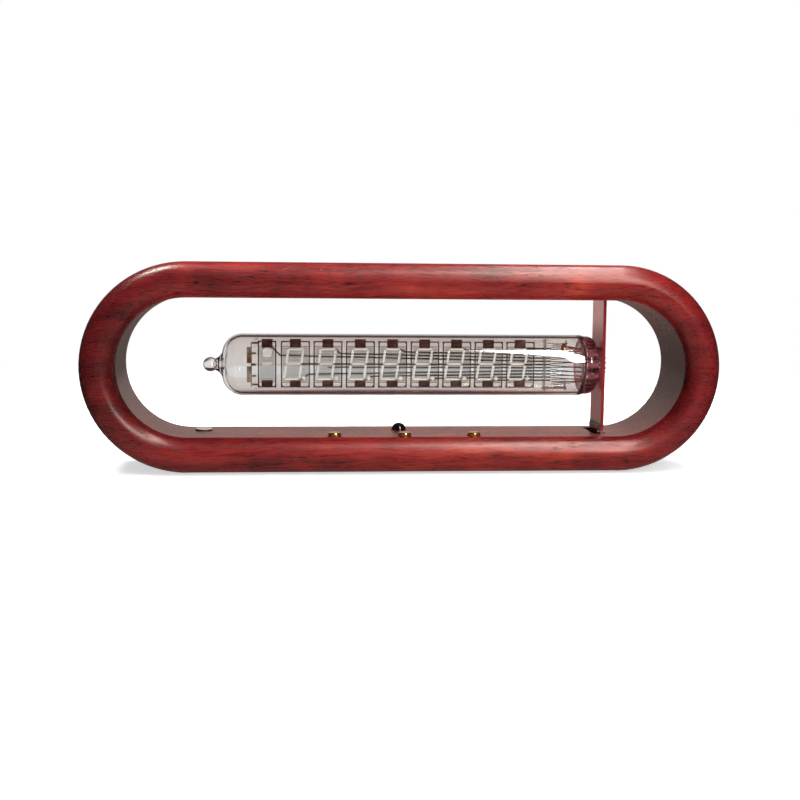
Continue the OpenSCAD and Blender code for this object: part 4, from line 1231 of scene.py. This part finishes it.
        out_r = self.mesh_pitch / 2 / math.cos(math.pi / 6)
        in_r = (self.mesh_pitch - self.mesh_wire) / 2 / math.cos(math.pi / 6)
        turns = [math.radians(60 * k + 30) for k in range(6)]
        step_z = self.mesh_pitch * math.sin(math.pi / 3)
        half_w = (high.x - low.x) / 2 - self.border
        half_h = self.field_h / 2
        rows = int((half_h - out_r) / step_z)
        for row in range(-rows, rows + 1):
            shift = 0.5 * self.mesh_pitch * (row % 2)
            count = int((half_w - self.mesh_pitch / 2 - shift) / self.mesh_pitch)
            first = -int((half_w - self.mesh_pitch / 2 + shift) / self.mesh_pitch)
            for column in range(first, count + 1):
                cx = mid_x + column * self.mesh_pitch + shift
                cz = mid_z + row * step_z
                n = len(verts)
                for y in (y0, y1):
                    for radius in (out_r, in_r):
                        verts += [(cx + radius * math.cos(t), y, cz + radius * math.sin(t))
                                  for t in turns]
                for k in range(6):
                    j = (k + 1) % 6
                    faces.append([n + k, n + j, n + 6 + j, n + 6 + k])
                    faces.append([n + 12 + k, n + 18 + k, n + 18 + j, n + 12 + j])
                    faces.append([n + 6 + k, n + 6 + j, n + 18 + j, n + 18 + k])
        for s in (-1, 1):
            edge = mid_x + s * (high.x - low.x) / 2
            block((min(edge, edge - s * self.border), front, low.z),
                  (max(edge, edge - s * self.border), back, high.z))
            top = mid_z + s * (high.z - low.z) / 2
            block((low.x + self.border, front, min(top, top - s * self.border)),
                  (high.x - self.border, back, max(top, top - s * self.border)))
            bar = mid_z + s * half_h
            block((low.x + self.border, front, bar - self.crossbar / 2),
                  (high.x - self.border, back, bar + self.crossbar / 2))
            leg = mid_z + s * (half_h + self.tab_reach)
            block((mid_x - half_tab, y0 - self.tab_proud, min(bar, leg)),
                  (mid_x + half_tab, back, max(bar, leg) + self.tab_half_t))
            block((mid_x - half_tab, back - self.frame_proud, leg - self.tab_half_t),
                  (mid_x + half_tab, high.y - self.tab_short, leg + self.tab_half_t))
            for t in (-1, 1):
                foot_x = mid_x + t * ((high.x - low.x) - self.corner_w) / 2
                foot_z = mid_z + s * ((high.z - low.z) - self.corner_w) / 2
                block((foot_x - self.corner_w / 2, y0 - self.corner_proud, foot_z - self.corner_w / 2),
                      (foot_x + self.corner_w / 2, high.y, foot_z + self.corner_w / 2))
        piece = make_piece("etched_" + node, verts, faces, EtchedGridSteel(), None)
        self.ride(piece, "grid_steel", node)

    def build(self) -> None:
        """Makes the glass and the grids, and dresses the rest."""
        self.glass()
        for node in ["grid_sign", *(f"grid_{k}" for k in range(1, 9))]:
            self.grid(node)
        self.dress(PlateGlass(), "anode_plate")
        self.dress(PrintedConductor(), "conductor_traces")
        self.dress(SettledPhosphor(), "phosphor_digits", "phosphor_sign")
        self.dress(FiredFrit(), "frit_pads")
        self.dress(CoatedTungsten(), "filament_wires")
        self.dress(NickelSheet(), "filament_springs", "spring_mount", "filament_anchor", "plate_clips")
        self.dress(StainedGetter(), "getter_ring")
        self.dress(SealedLead(), "lead_wires")


@dataclass
class Mast(SubAssembly):
    """The upright board that carries the tube, with its solder joints and pins."""

    def build(self) -> None:
        """Dresses the board and its metal."""
        self.dress(SolderMask(), "mast_board")
        self.dress(ReflowedSolder(), "lead_solder", "foot_solder")
        self.dress(TinnedCopper(), "foot_pins")
        self.dress(MouldedNylon(), "foot_header")


@dataclass
class RailControls(SubAssembly):
    """Buttons with their switches, receiver and light sensor in the bottom rail."""

    def build(self) -> None:
        """Dresses the controls."""
        for side in ("left", "middle", "right"):
            self.dress(TurnedBrass(), f"brass_button_{side}")
            self.dress(MouldedNylon(), f"switch_plunger_{side}")
        self.dress(MouldedNylon(), "switch_bodies", "sensor_sleeve")
        self.dress(CastReceiverEpoxy(), "infrared_receiver")
        self.dress(SensorEpoxy(), "light_sensor")


@dataclass
class Electronics(SubAssembly):
    """Main board and what it carries, closed in by the rail and its cover."""

    def build(self) -> None:
        """Dresses the board, its parts and the power socket."""
        self.dress(SolderMask(), "main_board")
        self.dress(RolledSteel(), "board_screws", "clock_crystal", "coin_cell", "cell_clip",
                   "socket_shell")
        self.dress(ChipEpoxy(), "processor_chip", "driver_chip")
        self.dress(TinnedCopper(), "chip_legs")
        self.dress(PressedFerrite(), "boost_inductor")
        self.dress(CapacitorEpoxy(), "smoothing_capacitors")
        self.dress(MouldedNylon(), "socket_tongue")


def main() -> None:
    """Builds the studio, then each sub-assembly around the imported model."""
    logging.basicConfig(level=logging.INFO, format="%(name)s: %(message)s")
    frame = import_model()
    studio = Studio()
    studio.camera()
    studio.build()
    for part in (WoodenLoop, Electronics, RailControls, Mast, DisplayTube):
        LOG.info("sub-assembly %s", part.__name__)
        part(frame["nodes"]).build()


if __name__ == "__main__":
    main()
